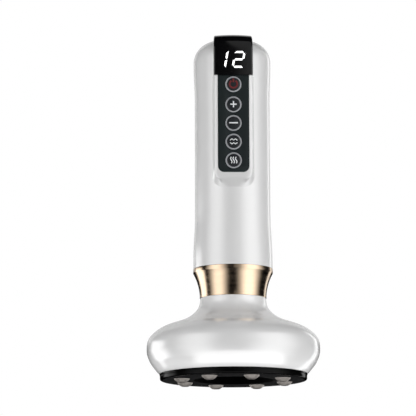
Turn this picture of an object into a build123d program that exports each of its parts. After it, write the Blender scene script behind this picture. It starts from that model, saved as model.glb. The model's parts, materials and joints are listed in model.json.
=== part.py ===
from build123d import *
import math
import os

os.makedirs("parts", exist_ok=True)

# A handheld suction massager standing on its head, in millimetres
# The axis is Z, the display and keys face -Y, and the bead tips touch Z = 0

# Driving sizes of the head
head_radius = 49.6
neck_radius = 18.85
neck_height = 49.2
rim_height = 3.6
bead_height = 2.1
bead_radius = 4.5
bead_count = 8
bead_clocking = 17.5

# Shares of the head's radius, and of its spread from the neck's radius to its own
bead_circle_share = 0.625
mouth_share = 0.4234
rim_share = 0.7616

# Driving sizes of the collar and the handle
collar_height = 16.95
collar_overlap = 0.15
collar_foot_radius = 19.15
handle_height = 133.25
foot_radius = 22.8
grip_radius = 21.8
crown_radius = 22.4
shoulder_radius = 12.0

# Driving sizes of the key pad, the display and the keys
pad_reach = 24.45
pad_half_width = 10.7
panel_width = 17.85
display_width = 22.5
display_reach = 25.4
display_rise = 1.5
key_radius = 3.65
key_travel = 0.4

# Shares of the handle's height over the pad's top and along the pad
display_share = 0.182
pad_share = 0.4405

# Walls and gaps shared by every piece
shell_wall = 2.2
handle_wall = 2.0
seam_gap = 0.15
snug_gap = 0.1
slide_gap = 0.2
free_gap = 0.3
overrun = 1.0
screw_fit = 0.03

# Radii and heights that the sizes above lead to
rim_radius = neck_radius + rim_share * (head_radius - neck_radius)
bead_circle = bead_circle_share * head_radius
mouth_radius = mouth_share * head_radius
collar_top_radius = foot_radius + collar_overlap
handle_reach = max(foot_radius, grip_radius, crown_radius) + overrun
plate_bottom = bead_height
rim_top = bead_height + rim_height
collar_top = neck_height + collar_height
handle_foot = collar_top
handle_top = handle_foot + handle_height
pad_height = pad_share * handle_height
pad_top = handle_top - display_share * handle_height
pad_bottom = pad_top - pad_height

# Places round the head: bead angles in degrees, counted from +X
bead_angles = [bead_clocking + k * 360 / bead_count for k in range(bead_count)]
lead_angle = bead_angles[-2] + 180 / bead_count


def polar(radius, angle):
    turn = math.radians(angle)
    return (radius * math.cos(turn), radius * math.sin(turn))


def save(part, name):
    part.label = name
    export_step(part, "parts/" + name + ".step")


# Head shell outline, as shares of its spread beyond the neck and of its height over the rim
dome_shares = [
    (rim_share, 0.0),
    (0.795, 0.022),
    (0.829, 0.05),
    (0.862, 0.08),
    (0.8925, 0.108),
    (0.922, 0.138),
    (0.9505, 0.178),
    (0.9919, 0.258),
    (1.0, 0.338),
    (0.975, 0.441),
    (0.867, 0.536),
    (0.694, 0.616),
    (0.4965, 0.667),
    (0.231, 0.743),
    (0.109, 0.809),
    (0.047, 0.864),
    (0.016, 0.92),
    (0.0, 1.0),
]


def dome_points(inset):
    spread = head_radius - neck_radius
    rise = neck_height - rim_top
    outer = [(neck_radius + r * spread, rim_top + z * rise) for r, z in dome_shares]
    points = []
    for k, (r, z) in enumerate(outer):
        before = outer[max(k - 1, 0)]
        after = outer[min(k + 1, len(outer) - 1)]
        run = after[0] - before[0]
        climb = after[1] - before[1]
        length = math.hypot(run, climb)
        points.append((r - inset * climb / length, z + inset * run / length))
    return points


# Head shell with its spigot through the collar, a flange and inner skirts
spigot_radius = 16.0
spigot_bore = 14.2
spigot_step = 3.0
flange_radius = 17.8
flange_height = 2.2
floor_height = 2.8
floor_top = handle_foot + floor_height
flange_top = floor_top + flange_height
collar_bore = flange_radius + slide_gap
neck_cap = neck_height - shell_wall
skirt_reach = 5.8
skirt_radius = mouth_radius + skirt_reach
skirt_wall = 1.6
skirt_bottom = 6.6
lead_window_width = 7.0
lead_window_height = 4.6
catch_inset = 2.1
catch_radius = rim_radius - catch_inset
catch_bottom = 8.0
catch_height = 1.2
edge_softening = 0.25

with BuildPart() as head_room:
    inner = [(r, z) for r, z in dome_points(shell_wall) if rim_top < z < neck_cap]
    mouth_edge = (rim_radius - shell_wall, rim_top)
    top_edge = (inner[-1][0], neck_cap)
    with BuildSketch(Plane.XZ):
        with BuildLine():
            Spline(mouth_edge, *inner)
            Polyline(
                inner[-1],
                top_edge,
                (spigot_bore, neck_cap),
                (spigot_bore, flange_top + overrun),
                (0, flange_top + overrun),
                (0, rim_top - overrun),
                (mouth_edge[0], rim_top - overrun),
                mouth_edge,
            )
        make_face()
    revolve(axis=Axis.Z)
    # The skirt presses the cup's flange down, and a window lets the heater leads out
    with BuildSketch(Plane.XY.offset(skirt_bottom)):
        Circle(skirt_radius)
        Circle(skirt_radius - skirt_wall, mode=Mode.SUBTRACT)
    extrude(amount=neck_cap - skirt_bottom, mode=Mode.SUBTRACT)
    with BuildSketch(Plane.XY.offset(skirt_bottom)):
        with Locations(polar(skirt_radius - skirt_wall / 2, lead_angle)):
            Rectangle(2 * skirt_wall, lead_window_width, rotation=lead_angle)
    extrude(amount=lead_window_height)
    # Catch rib for the rim's hooks
    with BuildSketch(Plane.XY.offset(catch_bottom)):
        Circle(head_radius)
        Circle(catch_radius, mode=Mode.SUBTRACT)
    extrude(amount=catch_height, mode=Mode.SUBTRACT)

with BuildPart() as head_shell:
    with BuildSketch(Plane.XZ):
        with BuildLine():
            Spline(*dome_points(0))
            Polyline(
                (neck_radius, neck_height),
                (flange_radius, neck_height),
                (flange_radius, neck_height + spigot_step),
                (spigot_radius, neck_height + spigot_step),
                (spigot_radius, floor_top),
                (flange_radius, floor_top),
                (flange_radius, flange_top),
                (0, flange_top),
                (0, rim_top),
                dome_points(0)[0],
            )
        make_face()
    revolve(axis=Axis.Z)
    add(head_room.part, mode=Mode.SUBTRACT)
save(head_shell.part, "head_shell")

# Rim ring, with a groove under its top flange, a shelf for the plate and six hooks
rim_flange_height = 0.8
rim_groove_height = 0.5
rim_groove_depth = 0.6
rim_step = 0.2
rim_body_radius = rim_radius - rim_step
rim_rounding = 0.9
rim_lip_width = 1.6
plate_radius = rim_radius - rim_lip_width - snug_gap
plate_thickness = 2.4
plate_top = plate_bottom + plate_thickness
shelf_width = 2.2
shelf_inner = plate_radius - shelf_width
hook_count = 6
hook_sweep = 24.0
hook_thickness = 1.2
hook_gap = free_gap
hook_outer = catch_radius - hook_gap
hook_barb = 0.8
hook_barb_height = 1.4
hook_top = catch_bottom + catch_height + snug_gap + hook_barb_height

with BuildPart() as rim_ring:
    groove_top = rim_top - rim_flange_height
    groove_bottom = groove_top - rim_groove_height
    groove_radius = rim_radius - rim_groove_depth
    with BuildSketch(Plane.XZ):
        with BuildLine():
            Polyline(
                (rim_body_radius, plate_bottom + rim_rounding),
                (rim_body_radius, groove_bottom),
                (groove_radius, groove_bottom),
                (groove_radius, groove_top),
                (rim_radius, groove_top),
                (rim_radius, rim_top),
                (shelf_inner, rim_top),
                (shelf_inner, plate_top),
                (plate_radius + snug_gap, plate_top),
                (plate_radius + snug_gap, plate_bottom),
                (rim_body_radius - rim_rounding, plate_bottom),
            )
            RadiusArc(
                (rim_body_radius - rim_rounding, plate_bottom),
                (rim_body_radius, plate_bottom + rim_rounding),
                -rim_rounding,
            )
        make_face()
    revolve(axis=Axis.Z)
    for k in range(hook_count):
        with BuildSketch(Plane.XZ.rotated((0, 0, k * 360 / hook_count))):
            with BuildLine():
                Polyline(
                    (hook_outer - hook_thickness, rim_top - rim_flange_height / 2),
                    (hook_outer, rim_top - rim_flange_height / 2),
                    (hook_outer, hook_top - hook_barb_height),
                    (hook_outer + hook_barb, hook_top - hook_barb_height),
                    (hook_outer, hook_top),
                    (hook_outer - hook_thickness, hook_top),
                    close=True,
                )
            make_face()
        revolve(axis=Axis.Z, revolution_arc=hook_sweep)
save(rim_ring.part, "rim_ring")

# Contact plate with bead seats, magnet cups behind them and the mouth in the middle
bead_seat_depth = 0.8
bead_shank = 2.6
magnet_radius = 2.5
magnet_height = 2.0
magnet_cup_wall = 0.8
cup_wall = 1.8
mouth_hole = mouth_radius + cup_wall + snug_gap
magnet_cup_radius = magnet_radius + snug_gap + magnet_cup_wall

with BuildPart() as contact_plate:
    with BuildSketch(Plane.XY.offset(plate_bottom)):
        Circle(plate_radius)
        Circle(mouth_hole, mode=Mode.SUBTRACT)
    extrude(amount=plate_thickness)
    with BuildSketch(Plane.XY.offset(plate_top)):
        with Locations(*[polar(bead_circle, angle) for angle in bead_angles]):
            Circle(magnet_cup_radius)
    extrude(amount=magnet_height)
    with BuildSketch(Plane.XY.offset(plate_bottom)):
        with Locations(*[polar(bead_circle, angle) for angle in bead_angles]):
            Circle(bead_radius + snug_gap)
    extrude(amount=bead_seat_depth, mode=Mode.SUBTRACT)
    with BuildSketch(Plane.XY.offset(plate_bottom)):
        with Locations(*[polar(bead_circle, angle) for angle in bead_angles]):
            Circle(bead_shank + snug_gap)
    extrude(amount=plate_thickness + magnet_height + overrun, mode=Mode.SUBTRACT)
save(contact_plate.part, "contact_plate")

# Massage beads: shallow steel domes, each with a small flat at the tip
bead_flat = 2.0
bead_centre = (bead_radius**2 + bead_height**2 - bead_flat**2) / (2 * bead_height)
bead_sphere = math.hypot(bead_flat, bead_centre)
bead_turn = (
    math.atan2(bead_flat, bead_centre) + math.atan2(bead_radius, bead_centre - bead_height)
) / 2
bead_middle = (
    bead_sphere * math.sin(bead_turn),
    bead_centre - bead_sphere * math.cos(bead_turn),
)

with BuildPart() as massage_beads:
    for angle in bead_angles:
        seat = Plane(origin=(*polar(bead_circle, angle), 0), x_dir=(1, 0, 0), z_dir=(0, -1, 0))
        with BuildSketch(seat):
            with BuildLine():
                ThreePointArc((bead_flat, 0), bead_middle, (bead_radius, bead_height))
                Polyline(
                    (bead_radius, bead_height),
                    (bead_radius, bead_height + bead_seat_depth),
                    (bead_shank, bead_height + bead_seat_depth),
                    (bead_shank, plate_top),
                    (0, plate_top),
                    (0, 0),
                    (bead_flat, 0),
                )
            make_face()
        revolve(axis=Axis((*polar(bead_circle, angle), 0), (0, 0, 1)))
save(massage_beads.part, "massage_beads")

# Disc magnets behind the beads
with BuildPart() as bead_magnets:
    with BuildSketch(Plane.XY.offset(plate_top)):
        with Locations(*[polar(bead_circle, angle) for angle in bead_angles]):
            Circle(magnet_radius)
    extrude(amount=magnet_height)
save(bead_magnets.part, "bead_magnets")

# Suction cup: a deep black cup with a flange, a filter well, a hose nipple and a valve seat
gasket_height = 0.6
cup_flange_bottom = plate_top + gasket_height
cup_flange_height = skirt_bottom - cup_flange_bottom
cup_draft = 2.0
cup_top_radius = mouth_radius - cup_draft
cup_ceiling = 22.2
cup_rounding = 3.0
well_radius = 9.5
well_depth = 3.2
boss_radius = cup_top_radius - cup_rounding - cup_wall
well_top = cup_ceiling + well_depth
boss_top = well_top + cup_wall
hose_offset = -7.5
valve_offset = 6.5
port_radius = 1.0
nipple_radius = 2.0
nipple_height = 5.8

with BuildPart() as suction_cup:
    ceiling_top = cup_ceiling + cup_wall
    with BuildSketch(Plane.XZ):
        with BuildLine():
            Polyline(
                (mouth_radius, plate_bottom),
                (mouth_radius + cup_wall, plate_bottom),
                (mouth_radius + cup_wall, cup_flange_bottom),
                (skirt_radius, cup_flange_bottom),
                (skirt_radius, skirt_bottom),
                (mouth_radius + cup_wall, skirt_bottom),
                (cup_top_radius + cup_wall, ceiling_top - cup_rounding - cup_wall),
                (cup_top_radius - cup_rounding, ceiling_top),
                (boss_radius, ceiling_top),
                (boss_radius, boss_top),
                (0, boss_top),
                (0, well_top),
                (well_radius, well_top),
                (well_radius, cup_ceiling),
                (cup_top_radius - cup_rounding, cup_ceiling),
            )
            RadiusArc(
                (cup_top_radius - cup_rounding, cup_ceiling),
                (cup_top_radius, cup_ceiling - cup_rounding),
                cup_rounding,
            )
            Line((cup_top_radius, cup_ceiling - cup_rounding), (mouth_radius, plate_bottom))
        make_face()
    revolve(axis=Axis.Z)
    with BuildSketch(Plane.XY.offset(boss_top)):
        with Locations((hose_offset, 0)):
            Circle(nipple_radius)
    extrude(amount=nipple_height)
    with BuildSketch(Plane.XY.offset(well_top - overrun)):
        with Locations((hose_offset, 0), (valve_offset, 0)):
            Circle(port_radius)
    extrude(amount=cup_wall + nipple_height + 2 * overrun, mode=Mode.SUBTRACT)
save(suction_cup.part, "suction_cup")

with BuildPart() as cup_gasket:
    with BuildSketch(Plane.XY.offset(plate_top)):
        Circle(skirt_radius)
        Circle(mouth_radius + cup_wall + slide_gap, mode=Mode.SUBTRACT)
    extrude(amount=gasket_height)
save(cup_gasket.part, "cup_gasket")

# Heater ring round the cup, with a hole for each magnet cup and a terminal block
heater_thickness = 0.6
heater_inner = skirt_radius + slide_gap
heater_outer = shelf_inner - slide_gap
terminal_gap = 1.7
terminal_inner = skirt_radius + terminal_gap
terminal_length = 3.6
terminal_width = 4.2
terminal_height = 5.0

with BuildPart() as heater_ring:
    with BuildSketch(Plane.XY.offset(plate_top)):
        Circle(heater_outer)
        Circle(heater_inner, mode=Mode.SUBTRACT)
        with Locations(*[polar(bead_circle, angle) for angle in bead_angles]):
            Circle(magnet_cup_radius + slide_gap, mode=Mode.SUBTRACT)
    extrude(amount=heater_thickness)
    with BuildSketch(Plane.XY.offset(plate_top + heater_thickness)):
        with Locations(polar(terminal_inner + terminal_length / 2, lead_angle)):
            Rectangle(terminal_length, terminal_width, rotation=lead_angle)
    extrude(amount=terminal_height)
save(heater_ring.part, "heater_ring")

# Filter well in the cup's ceiling: a foam pad held by a perforated cap
filter_pad_height = 1.4
filter_cap_height = 1.4
filter_hole_radius = 0.6
filter_hole_pitch = 2.9
filter_hole_counts = [1, 6, 12]

with BuildPart() as filter_pad:
    with BuildSketch(Plane.XY.offset(well_top - filter_pad_height)):
        Circle(well_radius - slide_gap)
    extrude(amount=filter_pad_height)
save(filter_pad.part, "filter_pad")

with BuildPart() as filter_cap:
    cap_bottom = well_top - filter_pad_height - filter_cap_height
    with BuildSketch(Plane.XY.offset(cap_bottom)):
        Circle(well_radius - snug_gap)
        for ring, count in enumerate(filter_hole_counts):
            spots = [polar(ring * filter_hole_pitch, k * 360 / count) for k in range(count)]
            with Locations(*spots):
                Circle(filter_hole_radius, mode=Mode.SUBTRACT)
    extrude(amount=filter_cap_height)
save(filter_cap.part, "filter_cap")

# Release valve over the cup: frame, coil, plunger and its spring
valve_radius = 6.8
valve_wall = 0.7
valve_base_height = 4.0
valve_floor = 0.8
valve_height = 17.0
chamber_radius = 3.4
vent_radius = 0.7
plunger_radius = 2.4
coil_gap = free_gap
coil_top_gap = 0.4
plunger_lift = 1.2
plunger_length = 11.0
plunger_seat_gap = 0.05
plunger_tip_radius = 2.1
plunger_tip_height = 2.0
valve_bottom = boss_top
valve_top = valve_bottom + valve_height
coil_bottom = valve_bottom + valve_base_height

with BuildPart() as valve_frame:
    with BuildSketch(Plane.XY.offset(valve_bottom)):
        with Locations((valve_offset, 0)):
            Circle(valve_radius)
    extrude(amount=valve_height)
    with BuildSketch(Plane.XY.offset(coil_bottom)):
        with Locations((valve_offset, 0)):
            Circle(valve_radius - valve_wall)
    extrude(amount=valve_height - valve_base_height - valve_wall, mode=Mode.SUBTRACT)
    with BuildSketch(Plane.XY.offset(valve_bottom + valve_floor)):
        with Locations((valve_offset, 0)):
            Circle(chamber_radius)
    extrude(amount=valve_base_height, mode=Mode.SUBTRACT)
    with BuildSketch(Plane.XY.offset(valve_bottom - overrun)):
        with Locations((valve_offset, 0)):
            Circle(port_radius)
    extrude(amount=valve_floor + 2 * overrun, mode=Mode.SUBTRACT)
    with BuildSketch(Plane.YZ.offset(valve_offset)):
        with Locations((0, valve_bottom + valve_base_height / 2)):
            Circle(vent_radius)
    extrude(amount=valve_radius + overrun, mode=Mode.SUBTRACT)
save(valve_frame.part, "valve_frame")

with BuildPart() as valve_coil:
    with BuildSketch(Plane.XY.offset(coil_bottom)):
        with Locations((valve_offset, 0)):
            Circle(valve_radius - valve_wall - snug_gap)
            Circle(plunger_radius + coil_gap, mode=Mode.SUBTRACT)
    extrude(amount=valve_top - valve_wall - coil_top_gap - coil_bottom)
save(valve_coil.part, "valve_coil")

plunger_bottom = valve_bottom + valve_floor + plunger_seat_gap
plunger_top = plunger_bottom + plunger_length

with BuildPart() as valve_plunger:
    with BuildSketch(Plane.XY.offset(plunger_bottom)):
        with Locations((valve_offset, 0)):
            Circle(plunger_tip_radius)
    extrude(amount=plunger_tip_height)
    with BuildSketch(Plane.XY.offset(plunger_bottom + plunger_tip_height)):
        with Locations((valve_offset, 0)):
            Circle(plunger_radius)
    extrude(amount=plunger_length - plunger_tip_height)
save(valve_plunger.part, "valve_plunger")

spring_wire = 0.3
spring_turns = 4
spring_radius = plunger_radius - 2 * spring_wire
spring_bottom = plunger_top + spring_wire + seam_gap
spring_top = valve_top - valve_wall - spring_wire - seam_gap

with BuildPart() as valve_spring:
    with BuildLine(Plane.XY.offset(spring_bottom)) as spring_path:
        with Locations((valve_offset, 0)):
            Helix(
                pitch=(spring_top - spring_bottom) / spring_turns,
                height=spring_top - spring_bottom,
                radius=spring_radius,
                center=(valve_offset, 0, 0),
            )
    with BuildSketch(Plane(origin=spring_path.line @ 0, z_dir=spring_path.line % 0)):
        Circle(spring_wire)
    sweep(is_frenet=True)
save(valve_spring.part, "valve_spring")

# Collar: a flared ring between the neck and the handle
collar_band_height = 2.4
collar_top_wall = 1.6
collar_inner_top = collar_top_radius - collar_top_wall
collar_straight = 5.8
locating_lip_radius = collar_inner_top - slide_gap
locating_lip_wall = 1.3
locating_lip_height = 1.6

with BuildPart() as collar:
    flare_top = collar_top - collar_band_height
    with BuildSketch(Plane.XZ):
        with BuildLine():
            TangentArc(
                (collar_foot_radius, neck_height),
                (collar_top_radius, flare_top),
                tangent=(0, 1),
            )
            Polyline(
                (collar_top_radius, flare_top),
                (collar_top_radius, collar_top - edge_softening),
                (collar_top_radius - edge_softening, collar_top),
                (collar_inner_top, collar_top),
                (collar_inner_top, collar_top - collar_band_height),
                (collar_bore, neck_height + collar_straight),
                (collar_bore, neck_height),
                (collar_foot_radius, neck_height),
            )
        make_face()
    revolve(axis=Axis.Z)
save(collar.part, "collar")

# Handle outline: shares of the handle's height at the foot's band, the waist and the crown
foot_band_share = 0.049
waist_start_share = 0.236
waist_end_share = 0.747
crown_start_share = 0.889


def handle_outline(inset):
    # Draws half of the handle's outline, moved inwards by the inset
    foot = (foot_radius - inset, handle_foot)
    foot_end = (foot_radius - inset, handle_foot + foot_band_share * handle_height)
    waist_low = (grip_radius - inset, handle_foot + waist_start_share * handle_height)
    waist_high = (grip_radius - inset, handle_foot + waist_end_share * handle_height)
    crown_low = (crown_radius - inset, handle_foot + crown_start_share * handle_height)
    crown_high = (crown_radius - inset, handle_top - shoulder_radius)
    shoulder_end = (crown_radius - shoulder_radius, handle_top - inset)
    Line(foot, foot_end)
    Spline(foot_end, waist_low, tangents=[(0, 1), (0, 1)])
    Line(waist_low, waist_high)
    Spline(waist_high, crown_low, tangents=[(0, 1), (0, 1)])
    Line(crown_low, crown_high)
    RadiusArc(crown_high, shoulder_end, -(shoulder_radius - inset))
    Polyline(shoulder_end, (0, handle_top - inset), (0, handle_foot), foot)


with BuildPart() as handle_body:
    with BuildSketch(Plane.XZ):
        with BuildLine():
            handle_outline(0)
        make_face()
    revolve(axis=Axis.Z)

# Places of what the two handle shells carry
shell_screw_offset = 15.4
shell_screw_rise = 29.0
shell_screw_share = 0.495
shell_screw_drop = 19.6
shell_screw_heights = [
    handle_foot + shell_screw_rise,
    handle_foot + shell_screw_share * handle_height,
    handle_top - shell_screw_drop,
]
shell_boss_radius = 2.7
board_front = 16.6
board_thickness = 1.6
board_half_width = 10.0
board_rise = 48.5
board_drop = 9.4
board_bottom = handle_foot + board_rise
board_top = handle_top - board_drop
board_screw_offset = 7.4
board_screw_low = 2.6
board_screw_high = 1.4
board_screw_heights = [board_bottom + board_screw_low, pad_top + board_screw_high]
board_boss_radius = 1.8
damper_rise = 11.0
damper_bottom = handle_foot + damper_rise
damper_height = 5.5
damper_top = damper_bottom + damper_height
rib_thickness = 1.5
rib_bore = 14.0
lead_offset = 3.0
lead_reach = 13.8
lead_path_radius = math.hypot(lead_offset, lead_reach)
lead_path_angle = -math.degrees(math.atan2(lead_reach, lead_offset))
lead_notch_width = 4.6
lead_notch_depth = 3.2
shelf_rise = 47.3
shelf_bottom = handle_foot + shelf_rise
shelf_thickness = 1.6
shelf_front = 9.0
shelf_half_width = 11.0

with BuildPart() as handle_room:
    with BuildSketch(Plane.XZ):
        with BuildLine():
            handle_outline(handle_wall)
        make_face()
    revolve(axis=Axis.Z)
    split(bisect_by=Plane.XY.offset(floor_top), keep=Keep.TOP)
    # Screw bosses that run from the front wall to the rear wall
    with BuildSketch(Plane.XZ):
        for height in shell_screw_heights:
            with Locations((shell_screw_offset, height), (-shell_screw_offset, height)):
                Circle(shell_boss_radius)
    extrude(amount=handle_reach, both=True, mode=Mode.SUBTRACT)
    # Bosses for the main board
    with BuildSketch(Plane.XZ.offset(board_front)):
        for height in board_screw_heights:
            with Locations((board_screw_offset, height), (-board_screw_offset, height)):
                Circle(board_boss_radius)
    extrude(amount=handle_reach - board_front, mode=Mode.SUBTRACT)
    # Two ring ribs that hold the pump's damper, with a notch for the leads
    for height in (damper_bottom - rib_thickness, damper_top):
        with BuildSketch(Plane.XY.offset(height)):
            Circle(handle_reach)
            Circle(rib_bore, mode=Mode.SUBTRACT)
            with Locations(polar(lead_path_radius, lead_path_angle)):
                Rectangle(
                    lead_notch_depth,
                    lead_notch_width,
                    rotation=lead_path_angle,
                    mode=Mode.SUBTRACT,
                )
        extrude(amount=rib_thickness, mode=Mode.SUBTRACT)
    # Shelf for the charging board
    with BuildSketch(Plane.XY.offset(shelf_bottom)):
        with Locations((0, shelf_front)):
            Rectangle(2 * shelf_half_width, handle_reach, align=(Align.CENTER, Align.MIN))
    extrude(amount=shelf_thickness, mode=Mode.SUBTRACT)

# Raised key pad, its face narrower than its root, with a sloped lower end
pad_root = 16.0
pad_side_slope = 0.2
pad_end_slope = 2.2
pad_corner = 4.5
pad_root_corner = 7.0
pad_edge_radius = 0.6
pad_over = 12.0

with BuildPart() as key_pad:
    depth = pad_reach - pad_root
    root_half = pad_half_width + pad_side_slope * depth
    root_bottom = pad_bottom - pad_end_slope * depth
    for reach, half, bottom, corner in (
        (pad_root, root_half, root_bottom, pad_root_corner),
        (pad_reach, pad_half_width, pad_bottom, pad_corner),
    ):
        top = pad_top + pad_over
        with BuildSketch(Plane.XZ.offset(reach)):
            with Locations((0, (top + bottom) / 2)):
                RectangleRounded(2 * half, top - bottom, corner)
    loft()
    fillet(key_pad.faces().sort_by(Axis.Y)[0].edges(), pad_edge_radius)
    split(bisect_by=Plane.XY.offset(pad_top), keep=Keep.BOTTOM)

with BuildPart() as handle_shells:
    add(handle_body.part)
    add(key_pad.part)
    with BuildSketch(Plane.XY.offset(handle_foot - locating_lip_height)):
        Circle(locating_lip_radius)
        Circle(locating_lip_radius - locating_lip_wall, mode=Mode.SUBTRACT)
    extrude(amount=locating_lip_height + floor_height / 2)
    add(handle_room.part, mode=Mode.SUBTRACT)
    with BuildSketch(Plane.XY.offset(handle_foot - overrun)):
        Circle(spigot_radius + slide_gap)
    extrude(amount=floor_height + 2 * overrun, mode=Mode.SUBTRACT)

# Key places down the panel, in shares of the pad's height: power, then four at an even pitch
power_share = 0.092
plus_share = 0.201
pitch_share = 0.1848
power_drop = power_share * pad_height
power_to_plus = plus_share * pad_height
key_pitch = pitch_share * pad_height
key_heights = [pad_top - power_drop]
for k in range(4):
    key_heights.append(pad_top - power_drop - power_to_plus - k * key_pitch)
key_names = ["power", "plus", "minus", "suction", "heat"]

# Panel pocket and the room behind it for the key flanges
panel_thickness = 1.0
panel_recess = 0.1
panel_end = 2.3
panel_corner = 3.6
panel_bottom = pad_bottom + panel_end
pocket_floor = pad_reach - panel_recess - panel_thickness
key_wall = 1.6
key_room_half = 8.4
key_room_below = 6.2
key_room_above = 5.0
key_room_bottom = key_heights[-1] - key_room_below
key_room_top = key_heights[0] + key_room_above
key_hole = key_radius + slide_gap

# Window behind the display
module_half_width = 8.2
module_rise = 3.8
module_bottom = pad_top + module_rise
module_height = 11.4
module_front = 22.8
lens_wall = 1.8

# Shell screws: head seat, thread and counterbore
shell_screw_shank = 0.95
shell_screw_clear = 1.2
shell_screw_head = 1.9
shell_screw_head_height = 1.4
shell_screw_seat = 7.0
shell_screw_length = 12.5
counterbore_radius = 2.2

# Board screws
board_screw_shank = 0.8
board_screw_head = 1.5
board_screw_head_height = 1.1
board_screw_length = 5.6

# Charging socket in the rear wall
socket_width = 8.94
socket_height = 3.2
socket_depth = 7.35
socket_recess = 0.75
socket_corner = 1.5
charge_board_thickness = 1.2
charge_board_bottom = shelf_bottom + shelf_thickness
socket_bottom = charge_board_bottom + charge_board_thickness
socket_centre = socket_bottom + socket_height / 2
socket_mouth = grip_radius - socket_recess
charge_screw_side = 6.0
charge_screw_depth = 11.0
charge_screw_places = [(-charge_screw_side, charge_screw_depth), (charge_screw_side, charge_screw_depth)]
port_recess_width = 12.4
port_recess_height = 6.4
port_recess_corner = 3.1
port_recess_depth = 0.6

with BuildPart() as front_shell:
    add(handle_shells.part)
    split(bisect_by=Plane.XZ.offset(seam_gap / 2), keep=Keep.TOP)
    # Pocket for the key panel
    with BuildSketch(Plane.XZ.offset(pocket_floor)):
        with Locations((0, panel_bottom - snug_gap)):
            Rectangle(
                panel_width + 2 * snug_gap,
                pad_top + overrun - panel_bottom,
                align=(Align.CENTER, Align.MIN),
            )
        fillet(vertices().group_by(Axis.Y)[0], panel_corner)
    extrude(amount=display_reach - pocket_floor + overrun, mode=Mode.SUBTRACT)
    # Room behind the key wall
    with BuildSketch(Plane.XZ.offset(board_front)):
        with Locations((0, key_room_bottom)):
            Rectangle(
                2 * key_room_half,
                key_room_top - key_room_bottom,
                align=(Align.CENTER, Align.MIN),
            )
    extrude(amount=pocket_floor - key_wall - board_front, mode=Mode.SUBTRACT)
    # Key holes
    with BuildSketch(Plane.XZ.offset(board_front)):
        with Locations(*[(0, height) for height in key_heights]):
            Circle(key_hole)
    extrude(amount=display_reach - board_front, mode=Mode.SUBTRACT)
    # Display window
    with BuildSketch(Plane.XZ.offset(board_front)):
        with Locations((0, module_bottom - free_gap)):
            Rectangle(
                2 * (module_half_width + free_gap),
                module_height + 2 * free_gap,
                align=(Align.CENTER, Align.MIN),
            )
    extrude(amount=display_reach - board_front, mode=Mode.SUBTRACT)
    # Pilot holes for the shell screws and the board screws
    with BuildSketch(Plane.XZ):
        for height in shell_screw_heights:
            with Locations((shell_screw_offset, height), (-shell_screw_offset, height)):
                Circle(shell_screw_shank + screw_fit)
    extrude(amount=shell_screw_length - shell_screw_seat + overrun, mode=Mode.SUBTRACT)
    with BuildSketch(Plane.XZ.offset(board_front - overrun)):
        for height in board_screw_heights:
            with Locations((board_screw_offset, height), (-board_screw_offset, height)):
                Circle(board_screw_shank + screw_fit)
    extrude(amount=board_screw_length - board_thickness + 2 * overrun, mode=Mode.SUBTRACT)
save(front_shell.part, "front_shell")

with BuildPart() as rear_shell:
    add(handle_shells.part)
    split(bisect_by=Plane.XZ.offset(-seam_gap / 2), keep=Keep.BOTTOM)
    # Clearance holes and counterbores for the shell screws
    for radius, start in ((shell_screw_clear, 0), (counterbore_radius, shell_screw_seat)):
        with BuildSketch(Plane.XZ.offset(-start)):
            for height in shell_screw_heights:
                with Locations((shell_screw_offset, height), (-shell_screw_offset, height)):
                    Circle(radius)
        extrude(amount=start - handle_reach, mode=Mode.SUBTRACT)
    # Charging port: a slot for the socket inside a shallow recess
    with BuildSketch(Plane.XZ.offset(-shelf_front)):
        with Locations((0, socket_centre)):
            RectangleRounded(
                socket_width + 2 * snug_gap,
                socket_height + 2 * snug_gap,
                socket_corner + snug_gap,
            )
    extrude(amount=shelf_front - handle_reach, mode=Mode.SUBTRACT)
    with BuildSketch(Plane.XZ.offset(port_recess_depth - grip_radius)):
        with Locations((0, socket_centre)):
            RectangleRounded(port_recess_width, port_recess_height, port_recess_corner)
    extrude(amount=-handle_reach, mode=Mode.SUBTRACT)
    # Pilot holes in the shelf for the charging board's screws
    with BuildSketch(Plane.XY.offset(shelf_bottom - overrun)):
        with Locations(*charge_screw_places):
            Circle(board_screw_shank + screw_fit)
    extrude(amount=shelf_thickness + 2 * overrun, mode=Mode.SUBTRACT)
save(rear_shell.part, "rear_shell")

# Key panel: a dark strip with five key holes
with BuildPart() as key_panel:
    with BuildSketch(Plane.XZ.offset(pocket_floor)):
        with Locations((0, panel_bottom)):
            Rectangle(panel_width, pad_top - panel_bottom, align=(Align.CENTER, Align.MIN))
        fillet(vertices().group_by(Axis.Y)[0], panel_corner - snug_gap)
        with Locations(*[(0, height) for height in key_heights]):
            Circle(key_hole, mode=Mode.SUBTRACT)
    extrude(amount=panel_thickness)
save(key_panel.part, "key_panel")

# Bright ring round each key
ring_radius = 4.8
ring_height = 0.5
ring_face = pocket_floor + panel_thickness

with BuildPart() as key_rings:
    with BuildSketch(Plane.XZ.offset(ring_face)):
        with Locations(*[(0, height) for height in key_heights]):
            Circle(ring_radius)
            Circle(key_hole, mode=Mode.SUBTRACT)
    extrude(amount=ring_height)
    outer_edges = key_rings.edges().filter_by(GeomType.CIRCLE).group_by(Axis.Y)[0]
    fillet(outer_edges, ring_height / 3)
save(key_rings.part, "key_rings")

# Digits of the display: slanted bars set flush into the lens
digit_height = 9.9
digit_width = 6.4
digit_stroke = 1.25
digit_gap = 0.15
digit_depth = 0.3
digit_slant = 10.0
digit_rise = 4.1
digit_bottom = pad_top + digit_rise
one_left = -10.75
two_left = -0.97
digit_places = [(one_left, "bc"), (two_left, "abged")]


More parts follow.
